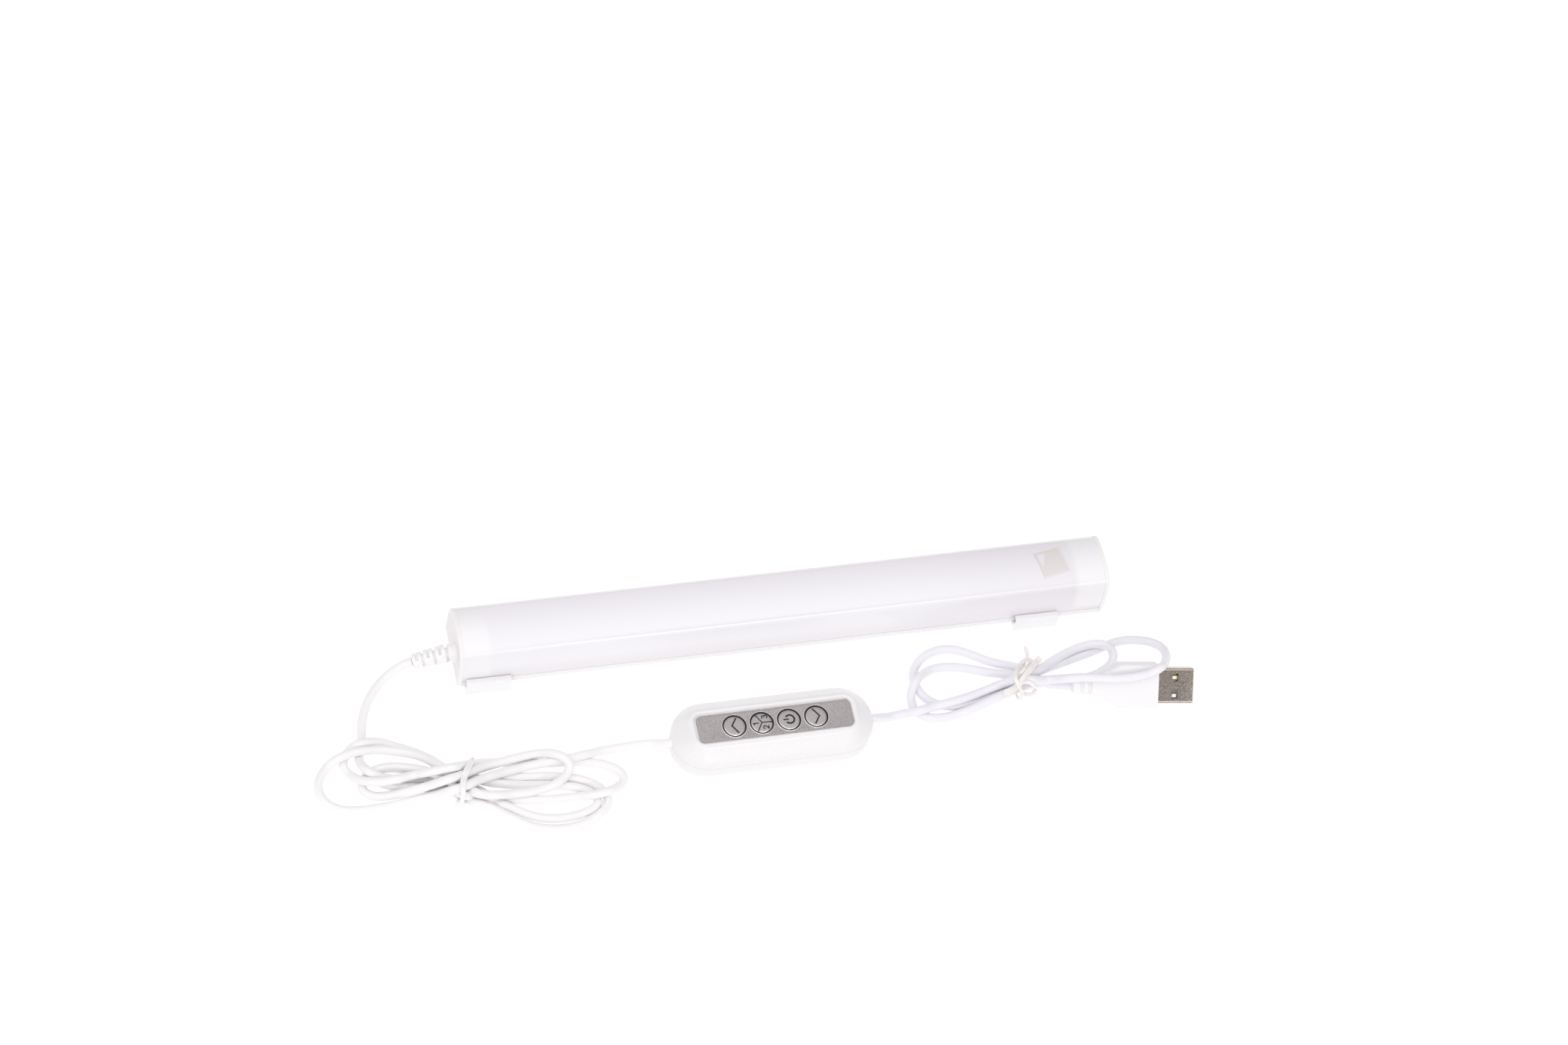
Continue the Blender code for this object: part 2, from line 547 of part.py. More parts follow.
shell = flat_curve("usb_shell", [round_rect(SHELL_W / 2, SHELL_T / 2, 0.7, 3),
                                 round_rect(SHELL_W / 2 - 0.3, SHELL_T / 2 - 0.3, 0.4, 3)], SHELL_OUT + 3.4, M_STEEL)
shell.matrix_world = frame_empty.matrix_world @ Matrix.Translation(mm(-(SHELL_OUT + 3.4) / 2, 0, 0)) @ ALONG_X
shell = as_mesh(shell)
for i, (sy, sz) in enumerate(((1, 1), (-1, 1), (1, -1), (-1, -1))):
    win = box("cut_shell_window_%d" % i, -6.3, 3.0 * sy, 2.25 * sz, 2.2, 2.4, 1.0, M_STEEL, frame_empty, tools)
    boolean(shell, win)

ins = box("usb_insulator", -8.1, 0, -0.85, 14.0, 10.6, 1.6, M_CHIP, frame_empty)
for i in range(4):
    box("usb_contact_%d" % (i + 1), -6.0, (i - 1.5) * 2.4, 0.45, 8.4, 1.1, 0.3, M_GOLD, frame_empty)

mw = frame_empty.matrix_world
neck = mw @ Vector(mm(-41.6 - GAP, 0, 0)) / MM
usb_tail[-1] = tuple(neck)
usb_tail[-2] = tuple(mw @ Vector(mm(-44.6, 0, 0)) / MM)
tube("cord_usb_tail", smooth_path(usb_tail, 1.8), CORD_R, M_PVC)

for ob in model.objects:
    if ob.type == "MESH":
        ob.data.shade_smooth()
        ob.data.set_sharp_from_angle(angle=radians(32))
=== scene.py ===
import json
from math import sin, cos, tan, pi, radians, sqrt, hypot, atan2, exp
import bpy
import bmesh
import numpy as np
from mathutils import Vector, Matrix

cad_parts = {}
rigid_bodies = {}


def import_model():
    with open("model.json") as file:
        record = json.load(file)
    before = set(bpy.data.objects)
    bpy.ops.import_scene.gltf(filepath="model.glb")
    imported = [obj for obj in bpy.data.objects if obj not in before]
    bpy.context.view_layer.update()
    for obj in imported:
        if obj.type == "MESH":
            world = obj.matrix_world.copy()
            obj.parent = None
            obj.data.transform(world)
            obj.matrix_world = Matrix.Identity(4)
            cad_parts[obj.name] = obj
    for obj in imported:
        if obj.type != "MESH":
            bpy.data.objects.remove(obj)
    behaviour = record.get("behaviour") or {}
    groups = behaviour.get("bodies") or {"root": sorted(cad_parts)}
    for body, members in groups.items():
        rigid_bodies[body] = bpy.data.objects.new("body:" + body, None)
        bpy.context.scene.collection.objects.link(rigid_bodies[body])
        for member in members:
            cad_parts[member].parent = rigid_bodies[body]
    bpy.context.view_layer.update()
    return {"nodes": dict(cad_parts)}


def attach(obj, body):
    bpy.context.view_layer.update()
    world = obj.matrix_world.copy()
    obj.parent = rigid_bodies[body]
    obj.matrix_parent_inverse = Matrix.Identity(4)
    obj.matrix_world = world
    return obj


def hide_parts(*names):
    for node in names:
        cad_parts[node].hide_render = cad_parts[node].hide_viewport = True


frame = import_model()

MM = 0.001
scene = bpy.context.scene
scene.view_settings.view_transform = "Standard"


def mm(*v):
    return tuple(c * MM for c in v)


# ================================================================== camera
YAW, PITCH, ROLL = radians(26.015), radians(57.968), radians(16.207)
TARGET, DISTANCE = Vector(mm(10.589, 37.984, 0.0)), 1.470901
look = Vector((sin(YAW) * cos(PITCH), cos(YAW) * cos(PITCH), -sin(PITCH)))
right = Vector((cos(YAW), -sin(YAW), 0.0))
up = right.cross(look)
cam_x = cos(ROLL) * right + sin(ROLL) * up
cam_y = -sin(ROLL) * right + cos(ROLL) * up
cam_data = bpy.data.cameras.new("camera")
cam_data.lens, cam_data.sensor_width, cam_data.sensor_fit = 98.45, 36.0, "HORIZONTAL"
cam_data.clip_start, cam_data.clip_end = 0.05, 20.0
cam = bpy.data.objects.new("camera", cam_data)
scene.collection.objects.link(cam)
rot = Matrix((cam_x, cam_y, -look)).transposed().to_4x4()
cam.matrix_world = Matrix.Translation(TARGET - look * DISTANCE) @ rot
scene.camera = cam


# ================================================================== cords
# Route points (mm) of the two leads, in order along each lead.
LAMP_ROUTE = [
    (-126.1, -3.5, 8.0), (-127.7, -3.4, 7.2), (-129.9, -3.5, 5.8), (-132.5, -3.8, 3.6), (-135.3, -5.1, 1.9),
    (-138.2, -7.7, 1.5), (-141.0, -11.1, 1.5), (-143.3, -15.0, 1.5), (-144.9, -19.0, 1.5), (-145.9, -22.7, 1.5),
    (-146.2, -25.2, 1.5), (-146.8, -28.4, 1.5), (-148.0, -31.6, 1.5), (-148.5, -34.4, 2.2), (-147.1, -38.0, 3.6),
    (-144.3, -41.2, 4.3), (-140.5, -42.7, 3.6), (-135.4, -43.6, 2.4), (-128.8, -43.9, 2.2), (-122.1, -43.9, 2.4),
    (-116.0, -44.8, 2.6), (-109.9, -46.4, 2.0), (-104.0, -46.7, 1.5), (-96.6, -47.1, 1.5), (-87.8, -48.1, 1.5),
    (-79.9, -49.8, 1.5), (-74.3, -52.4, 1.5), (-71.1, -55.8, 1.5), (-70.1, -59.2, 1.5), (-71.9, -62.3, 1.5),
    (-76.0, -65.0, 1.5), (-81.6, -67.0, 1.5), (-88.4, -67.3, 1.5), (-95.5, -65.7, 1.5), (-101.5, -62.1, 1.5),
    (-106.7, -58.0, 1.6), (-111.5, -55.1, 2.0), (-116.9, -51.7, 2.6), (-122.1, -48.3, 2.0), (-127.7, -46.8, 1.5),
    (-133.5, -45.7, 1.5), (-138.5, -44.7, 1.5), (-142.4, -43.3, 1.5), (-144.5, -41.1, 1.5), (-144.0, -39.0, 1.5),
    (-141.2, -38.0, 1.5), (-136.7, -38.5, 1.5), (-131.0, -40.0, 1.6), (-124.2, -42.9, 3.0), (-116.4, -45.4, 5.4),
    (-110.2, -47.5, 3.4), (-104.4, -48.6, 2.0), (-97.1, -50.0, 1.5), (-88.3, -51.2, 1.5), (-81.9, -52.5, 1.5),
    (-77.0, -54.5, 1.5), (-74.1, -57.2, 1.5), (-73.5, -59.6, 1.5), (-76.1, -61.8, 1.5), (-81.7, -63.3, 1.5),
    (-88.4, -63.5, 1.5), (-94.8, -62.0, 1.5), (-100.2, -59.0, 1.5), (-105.5, -55.2, 1.5), (-110.7, -50.9, 1.8),
    (-116.5, -47.7, 2.6), (-122.3, -44.4, 3.4), (-127.9, -42.0, 4.3), (-133.5, -40.4, 4.6), (-138.5, -39.2, 4.4),
    (-142.3, -38.6, 3.2), (-145.5, -39.1, 1.8), (-148.2, -41.1, 1.5), (-149.1, -43.5, 1.5), (-148.4, -45.8, 1.5),
    (-145.9, -47.4, 1.5), (-141.2, -47.9, 1.5), (-135.2, -47.2, 1.5), (-129.2, -46.4, 1.8), (-123.4, -46.1, 4.0),
    (-116.7, -46.5, 7.6), (-111.8, -45.6, 8.0), (-105.6, -44.3, 7.6), (-99.4, -43.0, 7.2), (-93.2, -42.3, 7.0),
    (-88.1, -42.4, 7.1), (-84.2, -43.7, 7.2), (-81.6, -46.2, 7.0), (-81.8, -48.9, 6.2), (-84.3, -51.3, 5.2),
    (-88.3, -53.1, 4.5), (-93.7, -54.1, 4.3), (-99.6, -54.2, 4.3), (-105.5, -53.8, 4.4), (-111.3, -52.8, 4.6),
    (-116.3, -50.1, 3.8), (-119.0, -47.3, 2.6), (-120.5, -44.0, 2.2), (-122.3, -40.6, 2.2), (-124.8, -38.0, 2.6),
    (-128.2, -35.9, 3.2), (-132.4, -33.8, 3.8), (-136.6, -32.2, 4.3), (-140.7, -30.2, 4.4), (-144.9, -29.2, 4.4),
    (-148.6, -29.4, 4.0), (-151.1, -30.5, 3.0), (-153.0, -32.4, 1.8), (-153.9, -34.6, 1.5), (-153.4, -37.2, 1.6),
    (-151.4, -40.1, 2.2), (-147.8, -42.4, 3.4), (-143.6, -43.7, 4.4), (-137.9, -44.0, 5.2), (-131.2, -43.6, 5.8),
    (-123.9, -43.5, 7.2), (-116.3, -43.6, 8.2), (-109.6, -42.6, 5.6), (-103.5, -42.5, 4.4), (-96.7, -42.8, 3.2),
    (-89.9, -43.2, 2.2), (-83.9, -43.5, 1.6), (-78.0, -44.0, 1.5), (-72.2, -45.1, 1.5), (-67.3, -47.1, 1.5),
    (-64.1, -50.0, 1.7), (-63.9, -53.3, 2.4), (-66.6, -56.1, 3.6), (-71.2, -57.7, 4.5), (-76.5, -58.2, 4.4),
    (-82.3, -57.7, 3.4), (-88.7, -56.9, 2.2), (-95.2, -55.8, 1.6), (-101.7, -54.7, 1.6), (-107.6, -53.9, 2.2),
    (-112.6, -53.0, 2.8), (-116.7, -51.5, 3.2), (-119.0, -48.8, 3.4), (-120.6, -45.0, 3.8), (-122.7, -41.9, 4.4),
    (-125.3, -39.6, 5.2), (-128.7, -37.7, 5.8), (-132.3, -36.4, 6.4), (-137.2, -35.1, 6.8), (-142.1, -33.7, 6.4),
    (-147.0, -32.6, 5.4), (-151.4, -32.6, 4.6), (-155.9, -33.5, 3.2), (-159.7, -35.7, 2.0), (-162.2, -39.0, 1.5),
    (-163.2, -42.6, 1.5), (-162.4, -46.3, 1.5), (-159.8, -49.4, 1.5), (-155.4, -51.4, 1.5), (-150.0, -52.0, 1.5),
    (-143.3, -51.8, 1.5), (-136.6, -51.3, 1.8), (-130.0, -50.8, 2.8), (-123.5, -50.8, 5.0), (-117.5, -51.0, 7.8),
    (-112.3, -49.0, 6.8), (-105.9, -47.1, 5.6), (-98.9, -45.7, 4.8), (-91.9, -44.6, 4.4), (-85.8, -44.2, 4.3),
    (-79.7, -43.7, 4.3), (-73.5, -42.6, 3.6), (-67.1, -41.6, 2.6), (-60.8, -40.8, 1.8), (-52.5, -40.5, 1.5),
    (-51.2, -41.1, 2.0), (-49.5, -41.9, 3.2), (-47.8, -42.9, 4.8), (-46.2, -43.6, 5.9),]
USB_ROUTE = [
    (22.7, -43.5, 5.6), (24.3, -43.1, 4.9), (26.5, -42.5, 3.6), (29.2, -41.9, 2.2), (32.1, -41.2, 1.6),
    (35.9, -40.9, 1.6), (40.2, -40.9, 2.6), (44.3, -41.1, 4.2), (48.8, -40.6, 4.6), (53.4, -39.8, 4.4),
    (58.9, -38.5, 4.0), (64.4, -37.0, 3.8), (69.7, -35.7, 4.2), (74.1, -35.0, 5.6), (78.2, -34.4, 6.6),
    (83.4, -33.0, 6.6), (88.6, -30.5, 6.2), (93.8, -28.0, 5.6), (99.0, -26.1, 5.0), (103.8, -25.1, 4.8),
    (107.6, -25.3, 4.7), (110.6, -26.8, 4.4), (111.7, -29.2, 3.6), (110.8, -31.4, 2.6), (108.2, -33.2, 1.7),
    (104.6, -34.7, 1.5), (100.5, -35.7, 1.5), (95.9, -36.0, 1.5), (90.8, -35.9, 1.5), (85.6, -35.7, 1.8),
    (78.5, -36.6, 2.6), (74.2, -37.3, 2.2), (70.3, -38.2, 1.6), (66.2, -39.4, 1.5), (61.3, -41.1, 1.5),
    (55.8, -42.8, 1.5), (50.5, -43.9, 1.5), (45.4, -44.0, 1.5), (41.3, -42.6, 1.5), (39.0, -40.1, 1.5),
    (38.5, -37.0, 1.5), (39.2, -33.7, 1.6), (40.6, -30.9, 2.6), (43.1, -28.9, 3.8), (46.5, -27.4, 4.2),
    (50.9, -26.7, 4.0), (56.0, -26.9, 3.4), (61.0, -27.9, 2.8), (65.8, -29.5, 2.6), (70.4, -31.1, 3.0),
    (74.2, -32.9, 4.4), (78.0, -35.4, 6.4), (81.8, -37.9, 8.2), (85.6, -39.2, 10.0), (89.4, -40.3, 11.8),
    (93.5, -41.0, 12.8), (98.2, -41.9, 13.4), (102.9, -43.2, 14.2), (107.5, -44.4, 15.2), (111.6, -44.9, 16.0),
    (116.1, -44.7, 16.2), (120.5, -43.2, 15.6), (124.6, -40.2, 14.0), (126.9, -36.2, 12.0), (126.9, -32.4, 10.2),
    (124.7, -29.5, 9.0), (121.6, -27.1, 7.0), (117.9, -25.3, 5.0), (114.0, -24.5, 3.2), (109.7, -24.8, 1.8),
    (104.9, -26.1, 1.5), (99.4, -27.5, 1.5), (93.8, -28.9, 1.6), (88.1, -30.5, 2.0), (83.8, -32.0, 2.4),
    (79.1, -33.9, 2.6), (74.6, -35.7, 2.4), (70.5, -37.0, 2.0), (65.7, -38.7, 1.7), (61.0, -39.8, 1.5),
    (55.8, -40.3, 1.5), (51.3, -40.2, 1.5), (47.2, -38.9, 1.5), (43.9, -36.5, 1.5), (41.9, -32.9, 1.5),
    (41.2, -29.3, 1.5), (41.7, -25.9, 1.5), (43.9, -22.7, 1.5), (47.5, -20.0, 1.5), (52.0, -18.7, 1.5),
    (56.4, -18.8, 1.5), (60.5, -20.4, 1.5), (64.5, -22.7, 1.5), (68.3, -25.1, 1.6), (72.3, -27.1, 2.0),
    (76.1, -28.9, 2.8), (79.6, -31.4, 3.6), (83.0, -34.8, 3.2), (86.9, -37.3, 3.0), (90.7, -39.0, 4.4),
    (94.1, -40.6, 6.0),]
CORD_D = 3.0
CORD_R = CORD_D / 2


def catmull(points, n):
    P = np.asarray(points, float)
    Q = np.vstack([2 * P[0] - P[1], P, 2 * P[-1] - P[-2]])
    out = []
    for i in range(1, len(Q) - 2):
        a, b, c, d = Q[i - 1:i + 3]
        for k in range(n):
            t = k / n
            out.append(0.5 * (2 * b + (c - a) * t + (2 * a - 5 * b + 4 * c - d) * t * t
                              + (3 * b - a - 3 * c + d) * t ** 3))
    out.append(Q[-2])
    return np.array(out)


def resample(S, step):
    L = np.r_[0, np.cumsum(np.linalg.norm(np.diff(S, axis=0), axis=1))]
    t = np.linspace(0, L[-1], max(2, int(round(L[-1] / step))) + 1)
    return np.stack([np.interp(t, L, S[:, k]) for k in range(3)], axis=1)


def settle(points, step=1.15, rounds=500, fixed=6, blocks=()):
    """Lay a lead along its route: where two strands are nearer than a diameter they are
    pushed apart, over and under each other, and down onto the table.  Bends are
    smoothed and both ends are held."""
    X = resample(catmull(points, 16), step)
    start = X.copy()
    n = len(X)
    seg = np.linalg.norm(np.diff(X, axis=0), axis=1)
    I, J = np.triu_indices(n, k=int(2.4 * CORD_D / step))
    free = np.ones(n)
    free[:fixed] = 0
    free[n - fixed:] = 0
    lift = np.array(look)                      # strands pass each other along this line
    for it in range(rounds):
        if it % 10 == 0:
            d = X[I] - X[J]
            near = (d * d).sum(1) < (1.8 * CORD_D) ** 2
            A, B = I[near], J[near]
        d = X[A] - X[B]
        dist = np.sqrt((d * d).sum(1)) + 1e-9
        hit = dist < CORD_D
        a, b, d, dist = A[hit], B[hit], d[hit], dist[hit]
        t = d @ lift
        side = d - t[:, None] * lift
        s2 = (side * side).sum(1)
        need = np.sqrt(np.maximum(0.0, CORD_D ** 2 - s2)) - np.abs(t)
        push = (0.30 * np.minimum(need, 0.8) * np.sign(t))[:, None] * lift
        push += (0.06 * (CORD_D - dist) / dist)[:, None] * side
        move, count = np.zeros_like(X), np.zeros(n)
        np.add.at(move, a, push)
        np.add.at(move, b, -push)
        np.add.at(count, a, 1)
        np.add.at(count, b, 1)
        X += free[:, None] * move / np.maximum(1, 0.6 * count)[:, None]
        bend = np.zeros_like(X)
        bend[2:-2] = (-X[:-4] + 4 * X[1:-3] + 4 * X[3:-1] - X[4:]) / 6 - X[2:-2]
        X += 0.45 * free[:, None] * bend
        off = start - X
        off -= (off @ lift)[:, None] * lift
        X += 0.04 * free[:, None] * off
        X[:, 2] -= free * 0.008
        for block in blocks:
            block(X, free, start)
        low = np.where(free > 0, np.maximum(0.0, CORD_R + 0.02 - X[:, 2]), 0.0)
        X -= (low / -lift[2])[:, None] * lift
    return X


def cord_curve(name, X, radius, mat, res=6):
    S = resample(catmull(X, 3), 0.6)
    cu = bpy.data.curves.new(name, "CURVE")
    cu.dimensions = "3D"
    cu.bevel_depth = radius * MM
    cu.bevel_resolution = res
    cu.use_fill_caps = True
    sp = cu.splines.new("POLY")
    sp.points.add(len(S) - 1)
    flat = np.c_[S * MM, np.ones(len(S))].ravel()
    sp.points.foreach_set("co", flat)
    sp.use_smooth = True
    ob = bpy.data.objects.new(name, cu)
    scene.collection.objects.link(ob)
    cu.materials.append(mat)
    return ob, float(np.linalg.norm(np.diff(S, axis=0), axis=1).sum()) * MM


# ================================================================== materials
def node(nt, kind, **inputs):
    n = nt.nodes.new(kind)
    for key, value in inputs.items():
        n.inputs[key.replace("_", " ")].default_value = value
    return n


def new_material(name, color, rough, metal=0.0, **extra):
    m = bpy.data.materials.new(name)
    m.use_nodes = True
    b = m.node_tree.nodes["Principled BSDF"]
    b.inputs["Base Color"].default_value = (*color, 1.0)
    b.inputs["Roughness"].default_value = rough
    b.inputs["Metallic"].default_value = metal
    for key, value in extra.items():
        b.inputs[key.replace("_", " ")].default_value = value
    return m


def grain(m, size, bump=0.0, rough=None, color=None, detail=3.0, low=0.35, high=0.65, distance=0.05):
    """Procedural grain: size in mm; bump 0..1; roughness and colour swing between two values."""
    nt = m.node_tree
    b = nt.nodes["Principled BSDF"]
    tc = nt.nodes.new("ShaderNodeTexCoord")
    noise = node(nt, "ShaderNodeTexNoise", Scale=1000.0 / size, Detail=detail, Roughness=0.6)
    nt.links.new(tc.outputs["Object"], noise.inputs["Vector"])
    if bump:
        bm_ = node(nt, "ShaderNodeBump", Strength=bump, Distance=distance * MM)
        nt.links.new(noise.outputs["Fac"], bm_.inputs["Height"])
        nt.links.new(bm_.outputs["Normal"], b.inputs["Normal"])
    if rough:
        r = nt.nodes.new("ShaderNodeMapRange")
        r.inputs["From Min"].default_value, r.inputs["From Max"].default_value = low, high
        r.inputs["To Min"].default_value, r.inputs["To Max"].default_value = rough
        nt.links.new(noise.outputs["Fac"], r.inputs["Value"])
        nt.links.new(r.outputs["Result"], b.inputs["Roughness"])
    if color:
        ramp = nt.nodes.new("ShaderNodeValToRGB")
        ramp.color_ramp.elements[0].position, ramp.color_ramp.elements[1].position = low, high
        ramp.color_ramp.elements[0].color = (*color[0], 1)
        ramp.color_ramp.elements[1].color = (*color[1], 1)
        nt.links.new(noise.outputs["Fac"], ramp.inputs["Fac"])
        nt.links.new(ramp.outputs["Color"], b.inputs["Base Color"])
    return m


def opal_material():
    """Milky cover whose colour carries painted light and shade: clearer white where the caps'
    collars back it and lighter, a little violet along the far edge (painted light); darker, a little violet towards the
    right end and rosy at the foot of the near wall (painted shade)."""
    m = new_material("opal_cover", (0.80, 0.78, 0.84), 0.36, Coat_Weight=1.0, Coat_Roughness=0.27, Coat_IOR=1.9)
    nt = m.node_tree
    b = nt.nodes["Principled BSDF"]
    tc = nt.nodes.new("ShaderNodeTexCoord")
    sep = nt.nodes.new("ShaderNodeSeparateXYZ")
    nt.links.new(tc.outputs["Object"], sep.inputs[0])

    def mapr(src, a, b_, c, d, smooth=True):
        r = nt.nodes.new("ShaderNodeMapRange")
        r.interpolation_type = "SMOOTHSTEP" if smooth else "LINEAR"
        for key, v in zip(("From Min", "From Max", "To Min", "To Max"), (a, b_, c, d)):
            r.inputs[key].default_value = v
        nt.links.new(src, r.inputs["Value"])
        return r.outputs["Result"]

    def math_(op, x, y):
        n = nt.nodes.new("ShaderNodeMath")
        n.operation = op
        for i, v in enumerate((x, y)):
            if isinstance(v, float):
                n.inputs[i].default_value = v
            else:
                nt.links.new(v, n.inputs[i])
        return n.outputs[0]

    def blend(fac, c1, c2):
        n = nt.nodes.new("ShaderNodeMix")
        n.data_type = "RGBA"
        nt.links.new(fac, n.inputs["Factor"])
        for sock, c in (("A", c1), ("B", c2)):
            s = [i for i in n.inputs if i.name == sock and i.type == "RGBA"][0]
            if isinstance(c, tuple):
                s.default_value = (*c, 1)
            else:
                nt.links.new(c, s)
        return [o for o in n.outputs if o.type == "RGBA"][0]

    noise = node(nt, "ShaderNodeTexNoise", Scale=16.0, Detail=1.5)
    nt.links.new(tc.outputs["Object"], noise.inputs["Vector"])
    wob = mapr(noise.outputs["Fac"], 0.3, 0.7, -0.0012, 0.0012)
    x = math_("ADD", sep.outputs["X"], wob)
    y, z = sep.outputs["Y"], sep.outputs["Z"]
    # painted light: the dome lighter towards its far edge
    col = blend(mapr(y, -0.004, 0.011, 0.0, 1.0), OPAL_MID, OPAL_PAINTED_LIGHT_FAR)
    # painted shade: a darker, rosy foot of the near wall
    col = blend(mapr(z, 0.0125, 0.0060, 0.0, 1.0), col, OPAL_PAINTED_SHADE_FOOT)
    # painted shade: darker towards the right end, less so on the dome
    col = blend(math_("MULTIPLY", mapr(x, 0.030, 0.098, 0.0, 1.0), mapr(z, 0.0165, 0.0195, 1.0, 0.45)), col, OPAL_PAINTED_SHADE_RIGHT)
    # painted light: clearer white at both ends, where the caps' collars sit behind the cover
    left = mapr(x, -0.1014, -0.1038, 0.0, 1.0)
    right_ = mapr(x, 0.1006, 0.1036, 0.0, 1.0)
    cap_light_zone = math_("MAXIMUM", left, right_)
    low = mapr(z, 0.0055, 0.0085, 0.0, 1.0)
    cap_light_zone = math_("MULTIPLY", cap_light_zone, low)
    col = blend(cap_light_zone, col, blend(mapr(z, 0.0165, 0.0195, 0.0, 1.0), OPAL_PAINTED_LIGHT_CAP_WALL, OPAL_PAINTED_LIGHT_CAP))
    nt.links.new(col, b.inputs["Base Color"])
    fine = node(nt, "ShaderNodeTexNoise", Scale=5000.0, Detail=2.0)
    nt.links.new(tc.outputs["Object"], fine.inputs["Vector"])
    bump = node(nt, "ShaderNodeBump", Strength=0.10, Distance=0.03 * MM)
    nt.links.new(fine.outputs["Fac"], bump.inputs["Height"])
    nt.links.new(bump.outputs["Normal"], b.inputs["Normal"])
    return m


# OPAL_MID is the cover's own tone; the far-edge and cap colours are painted light, the foot and right-end colours
# painted shade.
OPAL_MID = (0.878, 0.865, 0.898)
OPAL_PAINTED_LIGHT_FAR = (0.965, 0.928, 0.972)
OPAL_PAINTED_SHADE_FOOT = (0.830, 0.785, 0.815)
OPAL_PAINTED_SHADE_RIGHT = (0.825, 0.785, 0.825)
OPAL_PAINTED_LIGHT_CAP = (0.930, 0.915, 0.930)
OPAL_PAINTED_LIGHT_CAP_WALL = (0.905, 0.885, 0.900)

M_OPAL = opal_material()
M_ALU = grain(new_material("white_powder_coat", (0.915, 0.91, 0.915), 0.28, Coat_Weight=0.2), 0.9, bump=0.006, rough=(0.26, 0.31))
M_CAP = grain(new_material("cap_white", (0.93, 0.91, 0.90), 0.34, Coat_Weight=0.3, Coat_Roughness=0.2), 0.35, bump=0.05, rough=(0.30, 0.42),
              color=((0.925, 0.903, 0.895), (0.94, 0.923, 0.915)))
M_CAPFACE = grain(new_material("cap_face", (0.85, 0.82, 0.825), 0.40), 0.4, bump=0.05, rough=(0.34, 0.46),
                  color=((0.865, 0.826, 0.838), (0.88, 0.85, 0.855)))
M_CLIP = grain(new_material("clip_white", (0.925, 0.92, 0.925), 0.24, Coat_Weight=0.3), 0.9, bump=0.010, rough=(0.21, 0.26))
M_PVC = grain(new_material("pvc_warm_white", (0.93, 0.91, 0.91), 0.36, Coat_Weight=0.25, Coat_Roughness=0.3), 0.22, bump=0.06, rough=(0.32, 0.44),
              color=((0.945, 0.930, 0.930), (0.96, 0.948, 0.948)))
M_PVC2 = grain(new_material("pvc_cool_white", (0.88, 0.87, 0.91), 0.30, Coat_Weight=0.5, Coat_Roughness=0.22), 0.22, bump=0.05, rough=(0.28, 0.38),
               color=((0.87, 0.86, 0.905), (0.895, 0.885, 0.925)))
M_OVER = grain(new_material("overmould_white", (0.89, 0.88, 0.89), 0.42), 0.30, bump=0.07, rough=(0.36, 0.48),
               color=((0.905, 0.893, 0.90), (0.925, 0.913, 0.92)))
M_CASE = grain(new_material("case_gloss_white", (0.90, 0.89, 0.90), 0.20, Coat_Weight=0.35, Coat_Roughness=0.12),
               1.0, bump=0.010, rough=(0.18, 0.24), color=((0.880, 0.864, 0.873), (0.894, 0.883, 0.888)))
M_LABEL = grain(new_material("label_silver", (0.40, 0.37, 0.37), 0.42, 0.30), 0.34, bump=0.20, rough=(0.30, 0.52),
                color=((0.31, 0.28, 0.28), (0.54, 0.50, 0.50)), detail=4.0, low=0.34, high=0.66)
M_BUTTON = grain(new_material("button_silver", (0.44, 0.41, 0.41), 0.26, 0.55, Coat_Weight=0.5, Coat_Roughness=0.10), 0.34, bump=0.06, rough=(0.20, 0.32),
                 color=((0.36, 0.33, 0.33), (0.52, 0.48, 0.48)), detail=4.0, low=0.34, high=0.66)
# brighter, more metallic copy of the silver film for the button bevels and the rims round the holes: a painted
# highlight on top of the softbox's reflection
M_RIM_PAINTED_HIGHLIGHT = grain(new_material("button_rim_painted_highlight", (0.80, 0.77, 0.76), 0.20, 0.8), 0.3, bump=0.05, rough=(0.16, 0.26))
M_INK = grain(new_material("black_print", (0.012, 0.012, 0.014), 0.45), 0.1, bump=0.05, rough=(0.38, 0.52))


